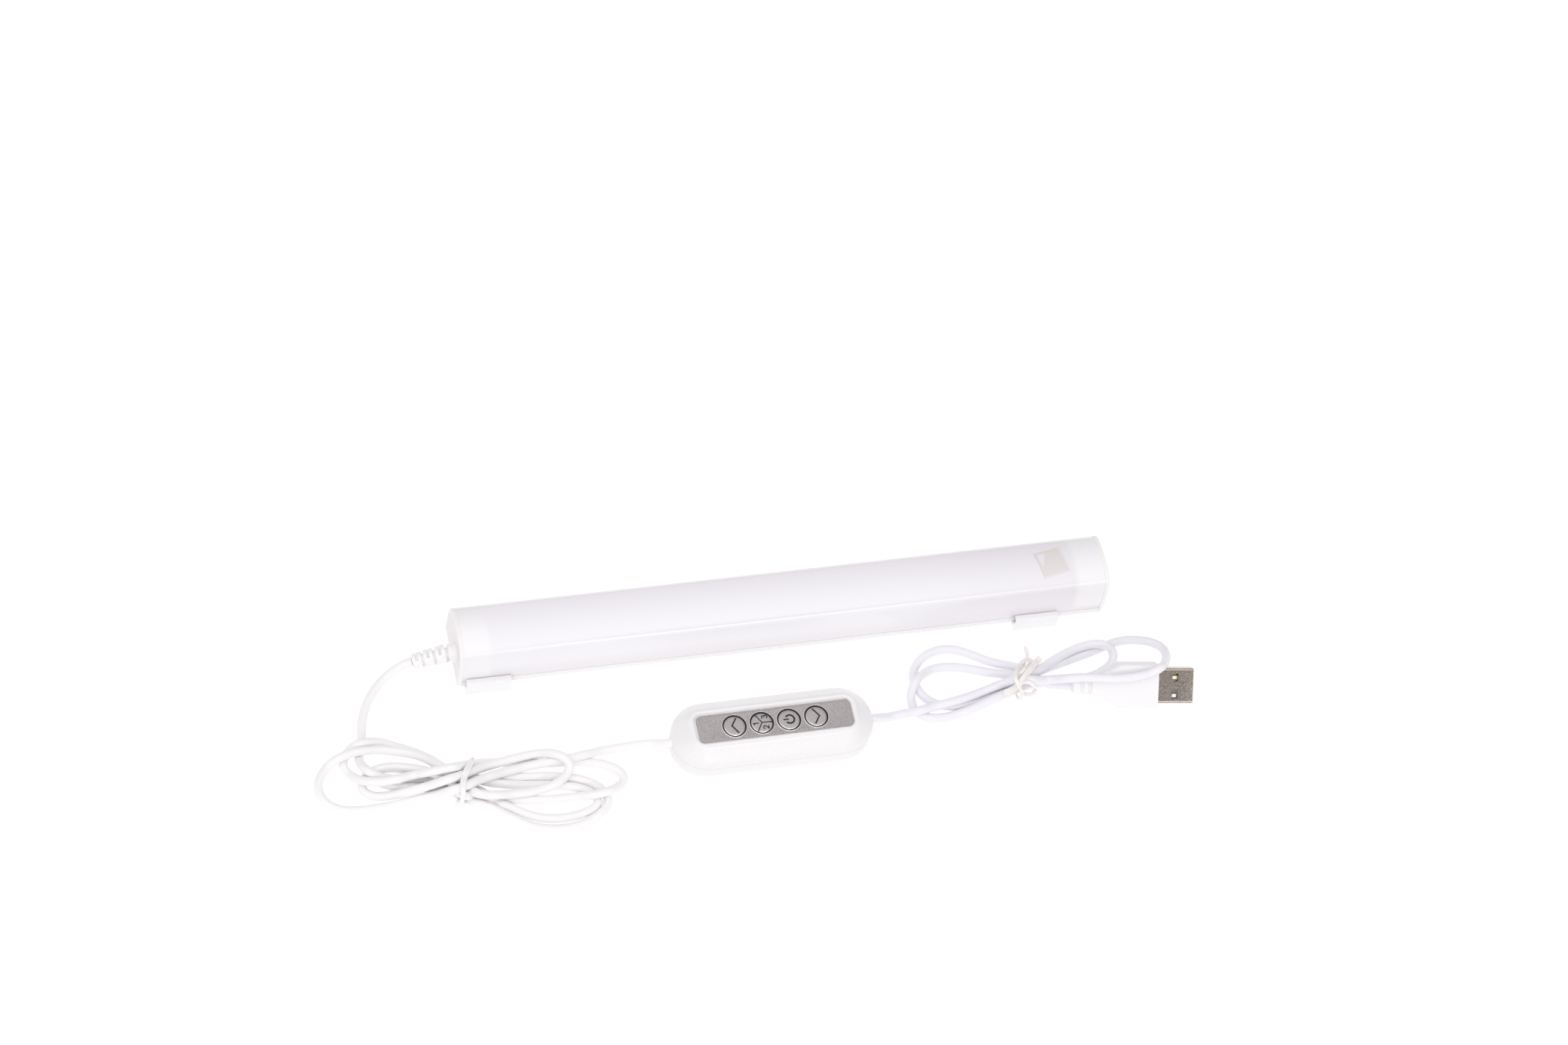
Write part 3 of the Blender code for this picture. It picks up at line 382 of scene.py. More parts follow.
def film_material():
    """Clear beige film: a bubble under one corner, two edges that fade into the cover."""
    m = new_material("beige_film", FILM_BEIGE, 0.32, Coat_Weight=0.8, Coat_Roughness=0.20)
    nt = m.node_tree
    b = nt.nodes["Principled BSDF"]
    tc = nt.nodes.new("ShaderNodeTexCoord")
    sep = nt.nodes.new("ShaderNodeSeparateXYZ")
    nt.links.new(tc.outputs["Object"], sep.inputs[0])

    def calc(op, x, y=0.0):
        n = nt.nodes.new("ShaderNodeMath")
        n.operation = op
        for i, v in enumerate((x, y)):
            if isinstance(v, float):
                n.inputs[i].default_value = v
            else:
                nt.links.new(v, n.inputs[i])
        return n.outputs[0]

    def span(src, a, b_, c, d):
        r = nt.nodes.new("ShaderNodeMapRange")
        r.interpolation_type = "SMOOTHSTEP"
        for key, v in zip(("From Min", "From Max", "To Min", "To Max"), (a, b_, c, d)):
            r.inputs[key].default_value = v
        nt.links.new(src, r.inputs["Value"])
        return r.outputs["Result"]

    def plane(a, b_, c):
        """a X + b Y + c, in mm."""
        return calc("ADD", calc("ADD", calc("MULTIPLY", sep.outputs["X"], 1000.0 * a),
                                calc("MULTIPLY", sep.outputs["Y"], 1000.0 * b_)), float(c))

    def mixed(fac, c1, c2):
        n = nt.nodes.new("ShaderNodeMix")
        n.data_type = "RGBA"
        nt.links.new(fac, n.inputs["Factor"])
        for sock, c in (("A", c1), ("B", c2)):
            s_ = [i for i in n.inputs if i.name == sock and i.type == "RGBA"][0]
            if isinstance(c, tuple):
                s_.default_value = (*c, 1)
            else:
                nt.links.new(c, s_)
        return [o for o in n.outputs if o.type == "RGBA"][0]

    ca, sa = cos(film_a), sin(film_a)
    cu_, cv_ = film_c[0] * ca + film_c[1] * sa, -film_c[0] * sa + film_c[1] * ca
    noise = node(nt, "ShaderNodeTexNoise", Scale=420.0, Detail=2.0)
    nt.links.new(tc.outputs["Object"], noise.inputs["Vector"])
    wob = span(noise.outputs["Fac"], 0.3, 0.7, -0.22, 0.22)
    U = calc("ADD", plane(ca, sa, 5.0 - cu_), wob)              # from the left edge
    V = calc("ADD", plane(sa, -ca, 5.0 + cv_), wob)             # from the far edge
    slant = calc("ADD", calc("ADD", calc("MULTIPLY", U, -0.872), calc("MULTIPLY", V, -0.489)), 3.83)
    inside = calc("MINIMUM", calc("MINIMUM", calc("SUBTRACT", U, 1.0), calc("SUBTRACT", V, 0.75)), slant)
    bubble = span(inside, -0.20, 0.35, 0.0, 0.85)
    fade = span(calc("MINIMUM", calc("SUBTRACT", 10.0, U), calc("SUBTRACT", 10.0, V)), 0.0, 1.2, 0.75, 0.0)
    edge = span(calc("MINIMUM", U, V), 0.45, 0.15, 0.0, 0.7)
    col = mixed(edge, FILM_BEIGE, FILM_EDGE)
    col = mixed(bubble, col, FILM_CLEAR)
    col = mixed(fade, col, FILM_CLEAR)
    nt.links.new(col, b.inputs["Base Color"])
    bump = node(nt, "ShaderNodeBump", Strength=0.10, Distance=0.03 * MM)
    nt.links.new(noise.outputs["Fac"], bump.inputs["Height"])
    nt.links.new(bump.outputs["Normal"], b.inputs["Normal"])
    return m


film_c, film_a = (93.4, -0.3), radians(11.5)
FILM_BEIGE, FILM_EDGE, FILM_CLEAR = (0.765, 0.715, 0.705), (0.72, 0.675, 0.64), (0.850, 0.818, 0.858)
M_FILM = film_material()
M_STEEL = grain(new_material("nickel_shell", (0.52, 0.47, 0.42), 0.20, 1.0), 0.34, bump=0.10, rough=(0.14, 0.24),
                color=((0.42, 0.352, 0.302), (0.60, 0.530, 0.476)), detail=4.0, low=0.34, high=0.62, distance=0.03)
M_BRIGHT = grain(new_material("bright_nickel", (0.70, 0.68, 0.74), 0.24, 0.9), 0.3, bump=0.06, rough=(0.20, 0.30))
M_GOLD = grain(new_material("gold_contact", (0.85, 0.62, 0.22), 0.22, 1.0), 0.3, bump=0.05, rough=(0.18, 0.30))
M_INSUL = grain(new_material("insulator_white", (0.80, 0.79, 0.77), 0.4), 0.3, bump=0.05, rough=(0.34, 0.46))
M_TIE1 = grain(new_material("tie_white", (0.94, 0.92, 0.92), 0.34, Coat_Weight=0.4, Coat_Roughness=0.2), 0.3, bump=0.08, rough=(0.3, 0.42),
               color=((0.935, 0.915, 0.915), (0.955, 0.94, 0.94)))
M_TIE2 = grain(new_material("tie_cream", (0.90, 0.865, 0.83), 0.30, Coat_Weight=0.6, Coat_Roughness=0.15), 0.35, bump=0.10, rough=(0.26, 0.38),
               color=((0.88, 0.84, 0.80), (0.92, 0.89, 0.86)))
M_BLACK = grain(new_material("black_resin", (0.02, 0.02, 0.022), 0.42), 0.25, bump=0.08, rough=(0.35, 0.5))
M_GREEN = grain(new_material("green_mask", (0.04, 0.20, 0.09), 0.38), 1.6, bump=0.05, rough=(0.3, 0.45),
                color=((0.035, 0.18, 0.08), (0.05, 0.24, 0.11)))
M_BOARD = grain(new_material("white_mask", (0.82, 0.82, 0.80), 0.42), 1.2, bump=0.05, rough=(0.36, 0.48),
                color=((0.80, 0.80, 0.78), (0.85, 0.85, 0.83)))
M_PHOS = grain(new_material("phosphor", (0.86, 0.72, 0.22), 0.45), 0.4, bump=0.1, rough=(0.4, 0.55),
               color=((0.84, 0.68, 0.18), (0.9, 0.78, 0.3)))
M_TAPE = grain(new_material("thermal_tape", (0.28, 0.30, 0.34), 0.7), 0.5, bump=0.15, rough=(0.6, 0.8),
               color=((0.25, 0.27, 0.31), (0.32, 0.34, 0.38)))
M_RED = grain(new_material("red_insulation", (0.5, 0.03, 0.03), 0.4), 0.3, bump=0.05, rough=(0.35, 0.45))


# ================================================================== mesh helpers
def finish_mesh(name, me, mat, body, replaces=(), smooth=35.0):
    ob = bpy.data.objects.new(name, me)
    scene.collection.objects.link(ob)
    me.materials.append(mat)
    me.shade_smooth()
    me.set_sharp_from_angle(angle=radians(smooth))
    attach(ob, body)
    if replaces:
        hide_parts(*replaces)
    return ob


def skin_mesh(rings, closed=False, to_world=None):
    """Faces over rings of equal point count (mm); ends capped, or joined when closed."""
    me = bpy.data.meshes.new("skin")
    bm_ = bmesh.new()
    rows = []
    for ring in rings:
        row = []
        for p in ring:
            v = Vector(tuple(float(c) * MM for c in p))
            row.append(bm_.verts.new(to_world @ v if to_world is not None else v))
        rows.append(row)
    n = len(rows[0])
    pairs = list(zip(rows, rows[1:])) + ([(rows[-1], rows[0])] if closed else [])
    for a, b in pairs:
        for i in range(n):
            j = (i + 1) % n
            bm_.faces.new((a[i], a[j], b[j], b[i]))
    if not closed:
        bm_.faces.new(rows[0])
        bm_.faces.new(rows[-1])
    bmesh.ops.remove_doubles(bm_, verts=bm_.verts, dist=1e-7)
    bmesh.ops.recalc_face_normals(bm_, faces=bm_.faces)
    bm_.to_mesh(me)
    bm_.free()
    return me


def skin(name, rings, mat, body, replaces=(), closed=False, smooth=35.0, to_world=None):
    return finish_mesh(name, skin_mesh(rings, closed, to_world), mat, body, replaces, smooth)


def joined(name, meshes, mat, body, replaces=(), smooth=35.0):
    """Several meshes as one piece."""
    bm_ = bmesh.new()
    for m in meshes:
        bm_.from_mesh(m)
        bpy.data.meshes.remove(m)
    me = bpy.data.meshes.new(name)
    bm_.to_mesh(me)
    bm_.free()
    return finish_mesh(name, me, mat, body, replaces, smooth)


def offset2(line, d):
    """Closed outline moved inwards by d (mm)."""
    P = np.array(line, float)
    a, b = np.roll(P, 1, axis=0), np.roll(P, -1, axis=0)
    area = 0.5 * np.sum(P[:, 0] * b[:, 1] - b[:, 0] * P[:, 1])
    s = 1.0 if area > 0 else -1.0
    e1, e2 = P - a, b - P
    e1 /= np.maximum(1e-9, np.linalg.norm(e1, axis=1))[:, None]
    e2 /= np.maximum(1e-9, np.linalg.norm(e2, axis=1))[:, None]
    n1 = s * np.stack([-e1[:, 1], e1[:, 0]], 1)
    n2 = s * np.stack([-e2[:, 1], e2[:, 0]], 1)
    n = n1 + n2
    k = np.maximum(0.35, np.sum(n * n1, axis=1))
    return P + d * n / k[:, None]


def bar_sweep(name, line, x0, x1, rnd, mat, body, replaces=(), smooth=35.0, steps=3):
    """Outline (y, z) swept along X, with rounded ends."""
    rings = []
    prof = [(rnd * (1 - cos(t * pi / 2 / steps)), rnd * (1 - sin(t * pi / 2 / steps))) for t in range(steps + 1)]
    for dx, ins in prof:
        rings.append([(x0 + dx, y, z) for y, z in offset2(line, ins)])
    for dx, ins in reversed(prof):
        rings.append([(x1 - dx, y, z) for y, z in offset2(line, ins)])
    return skin(name, rings, mat, body, replaces, smooth=smooth)


def arc(cx, cy, r, a0, a1, n):
    return [(cx + r * cos(radians(a0 + (a1 - a0) * i / n)), cy + r * sin(radians(a0 + (a1 - a0) * i / n)))
            for i in range(n + 1)]


def round_rect(a, b, r, n=10):
    r = min(r, a, b)
    out = []
    for k, (sx, sy) in enumerate(((1, 1), (-1, 1), (-1, -1), (1, -1))):
        for i in range(n + 1):
            t = (k + i / n) * pi / 2
            out.append((sx * (a - r) + r * cos(t), sy * (b - r) + r * sin(t)))
    return out


def mirror(half):
    """Half outline (from foot to the plane y = 0) closed by its mirror image."""
    return half + [(-y, z) for y, z in reversed(half) if abs(y) > 1e-9]


# ================================================================== leads
lamp_path = settle(LAMP_ROUTE)
inward = np.array([(lamp_path[-1][0] + d, lamp_path[-1][1], lamp_path[-1][2]) for d in (3.0, 6.0, 9.0, 12.0, 13.0)])
inward[:, 2] += (0.15, 0.4, 0.6, 0.65, 0.65)
lamp_path = np.vstack([lamp_path, inward])
plug_in = np.array((Matrix.Rotation(radians(-7.7), 4, "Z") @ Matrix.Rotation(radians(38.0), 4, "X")).to_3x3())
PLUG_FRONT = np.array((134.2, -46.2, 7.2))
toward = -np.array(look) @ plug_in


def plug_block(X, free, start):
    """Strands lie over the plug, or pass beneath its raised side."""
    L = (X - PLUG_FRONT) @ plug_in
    t = np.interp(L[:, 0], (-42, -33, -26.5, -12.3, -12.2, 0), (2.6, 3.6, 7.55, 7.55, 6.0, 6.0)) + CORD_R
    h = np.interp(L[:, 0], (-42, -33, -26.5, -12.3, -12.2, 0), (2.4, 3.3, 3.9, 3.9, 2.25, 2.25)) + CORD_R + 0.1
    hit = (L[:, 0] > -44.0) & (L[:, 0] < 1.5) & (np.abs(L[:, 1]) < t) & (np.abs(L[:, 2]) < h) & (free > 0)
    over_it = hit & (start[:, 2] > 5.0)
    under = hit & ~over_it
    up_by = np.where(over_it, (h - L[:, 2]) / toward[2], 0.0)
    up_by = np.minimum(up_by, 1.5)
    down_by = np.where(under, (h + L[:, 2]) / toward[2], 0.0)
    X -= (0.35 * (up_by - down_by))[:, None] * np.array(look)


usb_path = settle(USB_ROUTE, blocks=(plug_block,))
usb_path = np.vstack([usb_path[:1] + (-2.4, 0.15, 0.1), usb_path[:1] + (-1.2, 0.07, 0.05), usb_path])
lamp_cord, lamp_len = cord_curve("lamp_lead", lamp_path, CORD_R, M_PVC)
usb_cord, usb_len = cord_curve("usb_lead", usb_path, CORD_R, M_PVC2)
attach(lamp_cord, "lamp")
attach(usb_cord, "lamp")
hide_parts("cord_lamp_lead", "cord_lamp_hank", "cord_lamp_tail")
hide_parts("cord_usb_lead", "cord_usb_hank", "cord_usb_tail")

# ================================================================== bar
HALF = 112.1
PLATE = 1.4
INNER = HALF - PLATE - 0.01
BASE_W, BASE_Z, CH_TOP = 11.65, 1.7, 4.45
WALL_W = 11.3
DOME_TOP, CREST_Y, CREST_Z = 20.6, 8.7, 18.75
DOME_R = (CREST_Y ** 2 + (DOME_TOP - CREST_Z) ** 2) / (2 * (DOME_TOP - CREST_Z))


def wall_y(z):
    return WALL_W - 1.55 * (max(0.0, z - 5.2) / 12.0) ** 2.2


def dome_z(y, inset=0.0):
    return DOME_TOP - DOME_R + sqrt((DOME_R - inset) ** 2 - y * y)


def cover_line(foot, inset=0.0):
    wall = [(wall_y(z) - inset, z) for z in np.linspace(foot, 16.8 - inset, 16)]
    p0, p1, p2 = wall[-1], (9.387 - inset, 18.472 - inset), (7.6 - inset, dome_z(7.6 - inset, inset))
    crest = []
    for i in range(1, 13):
        t = i / 12
        crest.append(tuple((1 - t) ** 2 * a + 2 * t * (1 - t) * b + t * t * c for a, b, c in zip(p0, p1, p2)))
    dome = [(y, dome_z(y, inset)) for y in np.linspace(7.6 - inset, 0.0, 15)[1:]]
    return wall + crest + dome


outer = cover_line(CH_TOP + 0.04)
inner = cover_line(6.0, 1.3)
tongue = 10.1
half_out = [(tongue, 3.6), (tongue, CH_TOP + 0.04)] + outer
half_in = [(tongue - 1.0, 3.6)] + inner
left_out = [(-y, z) for y, z in reversed(half_out[:-1])]
left_in = [(-y, z) for y, z in half_in[:-1]]
bar_sweep("diffuser_cover", half_out + left_out + left_in + half_in[::-1], -INNER, INNER, 0.03, M_OPAL,
          "lamp", ("diffuser",), smooth=30)

# channel: rounded lower corners, a shallow groove under the cover's foot, two board ribs
W, T0 = BASE_W, BASE_Z
ch = arc(W - 0.7, T0 + 0.7, 0.7, -90, 0, 5) + [(W, 3.35), (W - 0.16, 3.45), (W - 0.16, 3.62), (W, 3.72)]
ch += arc(W - 0.25, CH_TOP - 0.25, 0.25, 0, 90, 3) + [(W - 1.2, CH_TOP), (W - 1.2, 3.1), (7.6, 3.1), (7.6, 3.9), (6.8, 3.9), (6.8, 3.1)]
ch_full = ch + [(-y, z) for y, z in reversed(ch)]
bar_sweep("channel_profile", ch_full, -INNER, INNER, 0.10, M_ALU, "lamp", ("base_channel",), smooth=40)


# end caps
def cap_visual(name, side, cad):
    edge = arc(W - 1.0, T0 + 1.0, 1.0, -90, 0, 6) + [(W, z) for z in np.linspace(3.2, 4.6, 4)]
    edge += [(wall_y(z) + 0.10 + 0.20 * max(0.0, (7.0 - z) / 2.0) ** 2, z) for z in np.linspace(5.2, 7.0, 5)]
    edge += [(y + 0.10, z) for y, z in cover_line(7.4)[:-1] if z < 17.4]
    edge += [(y + 0.06, z + 0.06) for y, z in cover_line(7.4)[:-1] if z >= 17.4] + [(0.0, DOME_TOP + 0.08)]
    line = mirror(edge)
    x0, x1 = sorted((side * (HALF - PLATE), side * HALF))
    prof = [(0.45 * (1 - cos(t * pi / 10)), 0.45 * (1 - sin(t * pi / 10))) for t in range(6)]
    rings = []
    face = side * HALF
    for ins in (6.0, 2.2):
        s = (W - ins) / W
        rings.append([(face, y * s, 10.9 + (z - 10.9) * s) for y, z in line])
    for dx, ins in prof:
        rings.append([(face - side * dx, y, z) for y, z in offset2(line, ins)])
    rings.append([(side * (HALF - PLATE), y, z) for y, z in line])
    ob = skin(name, rings, M_CAP, "lamp", (cad,), smooth=40)
    ob.data.materials.append(M_CAPFACE)
    for p in ob.data.polygons:
        if p.normal.x * side > 0.96:
            p.material_index = 1
    c_out, c_in = cover_line(6.0, 1.65), cover_line(6.0, 2.75)
    loop = c_out + [(-y, z) for y, z in reversed(c_out[:-1])] + [(-y, z) for y, z in c_in[:-1]] + c_in[::-1]
    xs = sorted((side * (HALF - PLATE + 0.2), side * (HALF - PLATE - 8.2)))
    collar = bar_sweep(name + "_collar", loop, xs[0], xs[1], 0.2, M_CAP, "lamp", smooth=40)
    return ob


cap_visual("left_cap", -1, "end_cap_left")
cap_visual("right_cap", 1, "end_cap_right")

# two ejector-pin dimples on the left cap
joined("cap_pin_marks", [skin_mesh([[(-HALF - dx, y + r * cos(t), z + r * sin(t)) for t in np.linspace(0, 2 * pi, 17)[:-1]]
                                    for dx, r in ((-0.05, 0.55), (0.03, 0.5), (0.03, 0.28), (-0.02, 0.2))])
                         for y, z in ((5.6, 16.0), (5.9, 6.0))], M_CAPFACE, "lamp")

# ================================================================== strain relief
RY, RZ = -3.3, 11.0
TIP = (-126.0, -3.5, 8.0)


def relief_axis(x):
    s = max(0.0, (-HALF - 1.5) - x) / ((-HALF - 1.5) - TIP[0])
    return np.array((x, RY + (TIP[1] - RY) * s, RZ + (TIP[2] - RZ) * s ** 1.4))


def relief_ring(x, radii):
    c = relief_axis(x)
    t = relief_axis(x - 0.05) - relief_axis(x + 0.05)
    t /= np.linalg.norm(t)
    side = np.cross((0, 0, 1), t)
    side /= np.linalg.norm(side)
    u = np.cross(t, side)
    n = len(radii)
    return [c + side * (r * cos(2 * pi * k / n)) + u * (r * sin(2 * pi * k / n)) for k, r in enumerate(radii)]


N_T = 72
SLOTS = [(-115.0, "T"), (-117.0, "B"), (-118.9, "T"), (-120.75, "B"), (-122.6, "T"), (-124.4, "B")]


def relief_radius(x, k):
    """A tapering sleeve with slots that open on the upper and on the lower side by turns."""
    big = 3.22 - 0.062 * (-114.5 - x)
    core = 1.95 - 0.02 * (-114.5 - x)
    angle = 360.0 * k / N_T
    for c, kind in SLOTS:
        if abs(x - c) < 0.42:
            if kind == "T":
                opened = abs((angle - 90 + 180) % 360 - 180) < 112
            else:
                opened = 192 < angle < 350 or 62 < angle < 128
            return core if opened else big - 0.03
    edge = min(abs(abs(x - c) - 0.42) for c, _ in SLOTS)
    return big - 0.10 * max(0.0, 1 - edge / 0.15)


rows = [relief_ring(x, [r] * N_T) for x, r in ((-111.9, 3.4), (-112.85, 3.42), (-113.0, 3.32), (-113.05, 3.02), (-114.4, 3.0), (-114.55, 2.9))]
for x in np.arange(-114.6, TIP[0] + 0.15, -0.075):
    rows.append(relief_ring(x, [relief_radius(x, k) for k in range(N_T)]))
rows.append(relief_ring(TIP[0] + 0.08, [2.36] * N_T))
rows.append(relief_ring(TIP[0], [2.15] * N_T))
rows.append(relief_ring(TIP[0], [1.5] * N_T))
relief = skin("relief", rows, M_PVC, "lamp", ("strain_relief",), smooth=42)

# ================================================================== clips
clip_half = [(13.5, 0.0)] + arc(13.55, 0.5, 0.5, -80, 0, 5) + [(14.02, 2.0), (13.95, 3.6), (13.82, 4.6)]
clip_half += arc(12.85, 5.12, 1.02, -8, 90, 8)[1:] + [(12.0, 6.15)] + arc(11.62, 5.87, 0.26, 90, 200, 5) + [(11.5, 5.42), (12.0, 5.22), (12.4, 5.1)]
clip_half += arc(12.45, 4.6, 0.5, 80, 0, 4) + [(12.95, 3.7), (12.9, 3.35), (12.7, 3.1), (12.2, 3.0)] + [(11.98, 2.9), (11.98, 1.6)] + arc(11.73, 1.45, 0.25, 0, -90, 3)[1:]
clip_line = clip_half + [(-y, z) for y, z in reversed(clip_half)]
for nm, cad, body, cx in (("left_clip", "mounting_clip_left", "clip_left", -101.9),
                          ("right_clip", "mounting_clip_right", "clip_right", 87.9)):
    bar_sweep(nm, clip_line, cx - 7.6, cx + 7.6, 0.22, M_CLIP, body, (cad,), smooth=40)

# ================================================================== film
me = bpy.data.meshes.new("film_patch")
bm_ = bmesh.new()
N = 14
grid = {}
for lv, dz in ((0, 0.02), (1, 0.07)):
    for i in range(N + 1):
        for j in range(N + 1):
            u, v = -5 + 10 * i / N, -5 + 10 * j / N
            x = film_c[0] + u * cos(film_a) - v * sin(film_a)
            y = film_c[1] + u * sin(film_a) + v * cos(film_a)
            grid[lv, i, j] = bm_.verts.new(mm(x, y, dome_z(y) + dz))
for i in range(N):
    for j in range(N):
        bm_.faces.new((grid[1, i, j], grid[1, i + 1, j], grid[1, i + 1, j + 1], grid[1, i, j + 1]))
        bm_.faces.new((grid[0, i, j], grid[0, i, j + 1], grid[0, i + 1, j + 1], grid[0, i + 1, j]))
for k in range(N):
    bm_.faces.new((grid[0, k, 0], grid[0, k + 1, 0], grid[1, k + 1, 0], grid[1, k, 0]))
    bm_.faces.new((grid[0, k + 1, N], grid[0, k, N], grid[1, k, N], grid[1, k + 1, N]))
    bm_.faces.new((grid[0, 0, k + 1], grid[0, 0, k], grid[1, 0, k], grid[1, 0, k + 1]))
    bm_.faces.new((grid[0, N, k], grid[0, N, k + 1], grid[1, N, k + 1], grid[1, N, k]))
bmesh.ops.recalc_face_normals(bm_, faces=bm_.faces)
bm_.to_mesh(me)
bm_.free()
finish_mesh("film_patch", me, M_FILM, "lamp", ("diffuser_film",))

# ================================================================== dimmer case
CX, CY = -11.7, -43.3
SEAM = 6.0


CASE_X, CASE_Y = CX - 0.3, CY + 0.15


def cr_ring(a, b, r, z, n=12):
    return [(CASE_X + u, CASE_Y + v, z) for u, v in round_rect(a, b, r, n)]


lower = [cr_ring(32.9, 10.4, 10.0, 0.0), cr_ring(33.4, 10.9, 10.5, 0.04), cr_ring(33.85, 11.35, 11.0, 0.22),
         cr_ring(34.15, 11.65, 11.35, 0.55), cr_ring(34.3, 11.82, 11.5, 1.0), cr_ring(34.38, 11.9, 11.7, 2.2),
         cr_ring(34.45, 12.0, 11.8, SEAM - 0.05), cr_ring(34.42, 11.97, 11.77, SEAM - 0.01),
         cr_ring(32.9, 10.4, 10.2, SEAM - 0.01), cr_ring(32.7, 10.2, 10.0, 1.5)]
skin("case_lower", lower, M_CASE, "lamp", ("controller_lower_shell",), smooth=50)
upper = [cr_ring(32.9, 10.4, 10.2, SEAM + 0.01), cr_ring(34.42, 11.97, 11.77, SEAM + 0.01), cr_ring(34.45, 12.0, 11.8, SEAM + 0.05),
         cr_ring(34.44, 11.99, 11.8, 6.9), cr_ring(34.36, 11.92, 11.7, 7.35), cr_ring(34.15, 11.74, 11.4, 7.72),
         cr_ring(33.7, 11.35, 10.8, 8.15), cr_ring(32.8, 10.55, 9.6, 8.95), cr_ring(31.8, 9.65, 8.3, 9.85),
         cr_ring(30.8, 8.8, 7.0, 10.7), cr_ring(29.9, 8.05, 5.9, 11.45), cr_ring(29.4, 7.65, 5.3, 11.9),
         cr_ring(29.0, 7.3, 4.8, 12.25), cr_ring(28.5, 6.9, 4.3, 12.6), cr_ring(28.0, 6.5, 3.8, 12.78),
         cr_ring(27.5, 6.1, 3.3, 12.82), cr_ring(27.1, 5.75, 2.9, 12.72), cr_ring(26.8, 5.48, 2.55, 12.45),
         cr_ring(26.66, 5.34, 2.4, 12.1), cr_ring(26.62, 5.30, 2.35, 11.2), cr_ring(27.5, 6.2, 3.0, 10.6),
         cr_ring(32.3, 9.8, 9.2, 7.4)]
skin("case_upper", upper, M_CASE, "lamp", ("controller_upper_shell",), closed=True, smooth=50)

# faceplate with four holes, and the case floor under it
BTN_X = [CX + (i - 1.5) * 9.3 for i in range(4)]
HOLE = 4.12


def plate_object(name, a, b, r, z0, z1, hole, mat, replaces=(), bevel=0.0):
    cu = bpy.data.curves.new(name, "CURVE")
    cu.dimensions = "2D"
    cu.fill_mode = "BOTH"
    cu.extrude = 0.5 * (z1 - z0) * MM - bevel * MM
    cu.bevel_depth = bevel * MM
    cu.bevel_resolution = 2
    loops = [round_rect(a, b, r, 10)] + [[(x - CX + hole * cos(2 * pi * k / 48), hole * sin(2 * pi * k / 48))
                                          for k in range(48)] for x in BTN_X]
    for loop in loops:
        sp = cu.splines.new("POLY")
        sp.points.add(len(loop) - 1)
        for p, (u, v) in zip(sp.points, loop):
            p.co = (u * MM, v * MM, 0, 1)
        sp.use_cyclic_u = True
    tmp = bpy.data.objects.new(name + "_c", cu)
    scene.collection.objects.link(tmp)
    tmp.location = mm(CX, CY, 0.5 * (z0 + z1))
    bpy.context.view_layer.update()
    me = bpy.data.meshes.new_from_object(tmp.evaluated_get(bpy.context.evaluated_depsgraph_get()))
    me.transform(tmp.matrix_world)
    bpy.data.objects.remove(tmp, do_unlink=True)
    bm_ = bmesh.new()
    bm_.from_mesh(me)
    bmesh.ops.remove_doubles(bm_, verts=bm_.verts, dist=1e-6)
    bmesh.ops.recalc_face_normals(bm_, faces=bm_.faces)
    bm_.to_mesh(me)
    bm_.free()
    me.name = name
    return finish_mesh(name, me, mat, "lamp", replaces)


plate_object("faceplate", 26.45, 5.12, 2.1, 11.86, 12.0, HOLE, M_LABEL, ("controller_faceplate",), bevel=0.03)
plate_object("case_floor", 26.9, 5.5, 2.5, 11.0, 11.84, HOLE + 0.05, M_CASE)


def turned(cx, cy, profile, n=56, closed=False):
    rings = [[(cx + r * cos(2 * pi * k / n), cy + r * sin(2 * pi * k / n), z) for k in range(n)] for r, z in profile]
    return skin_mesh(rings, closed)


def ribbon(pts, width, z0, z1, closed=False):
    """Flat printed stroke of constant width along points (mm), with square ends."""
    P = np.array(pts, float)
    if closed:
        a, b = np.roll(P, 1, axis=0), np.roll(P, -1, axis=0)
    else:
        a, b = np.vstack([P[:1], P[:-1]]), np.vstack([P[1:], P[-1:]])
    t1, t2 = P - a, b - P
    if not closed:
        t1[0], t2[-1] = t2[0], t1[-1]
    t1 /= np.linalg.norm(t1, axis=1)[:, None]
    t2 /= np.linalg.norm(t2, axis=1)[:, None]
    n1 = np.stack([-t1[:, 1], t1[:, 0]], 1)
    n2 = np.stack([-t2[:, 1], t2[:, 0]], 1)
    n = (n1 + n2) / np.maximum(0.3, 1 + np.sum(n1 * n2, axis=1))[:, None]
    rings = []
    for p, m in zip(P, n):
        l, r = p + m * width / 2, p - m * width / 2
        rings.append([(l[0], l[1], z0), (l[0], l[1], z1), (r[0], r[1], z1), (r[0], r[1], z0)])
    return skin_mesh(rings, closed)


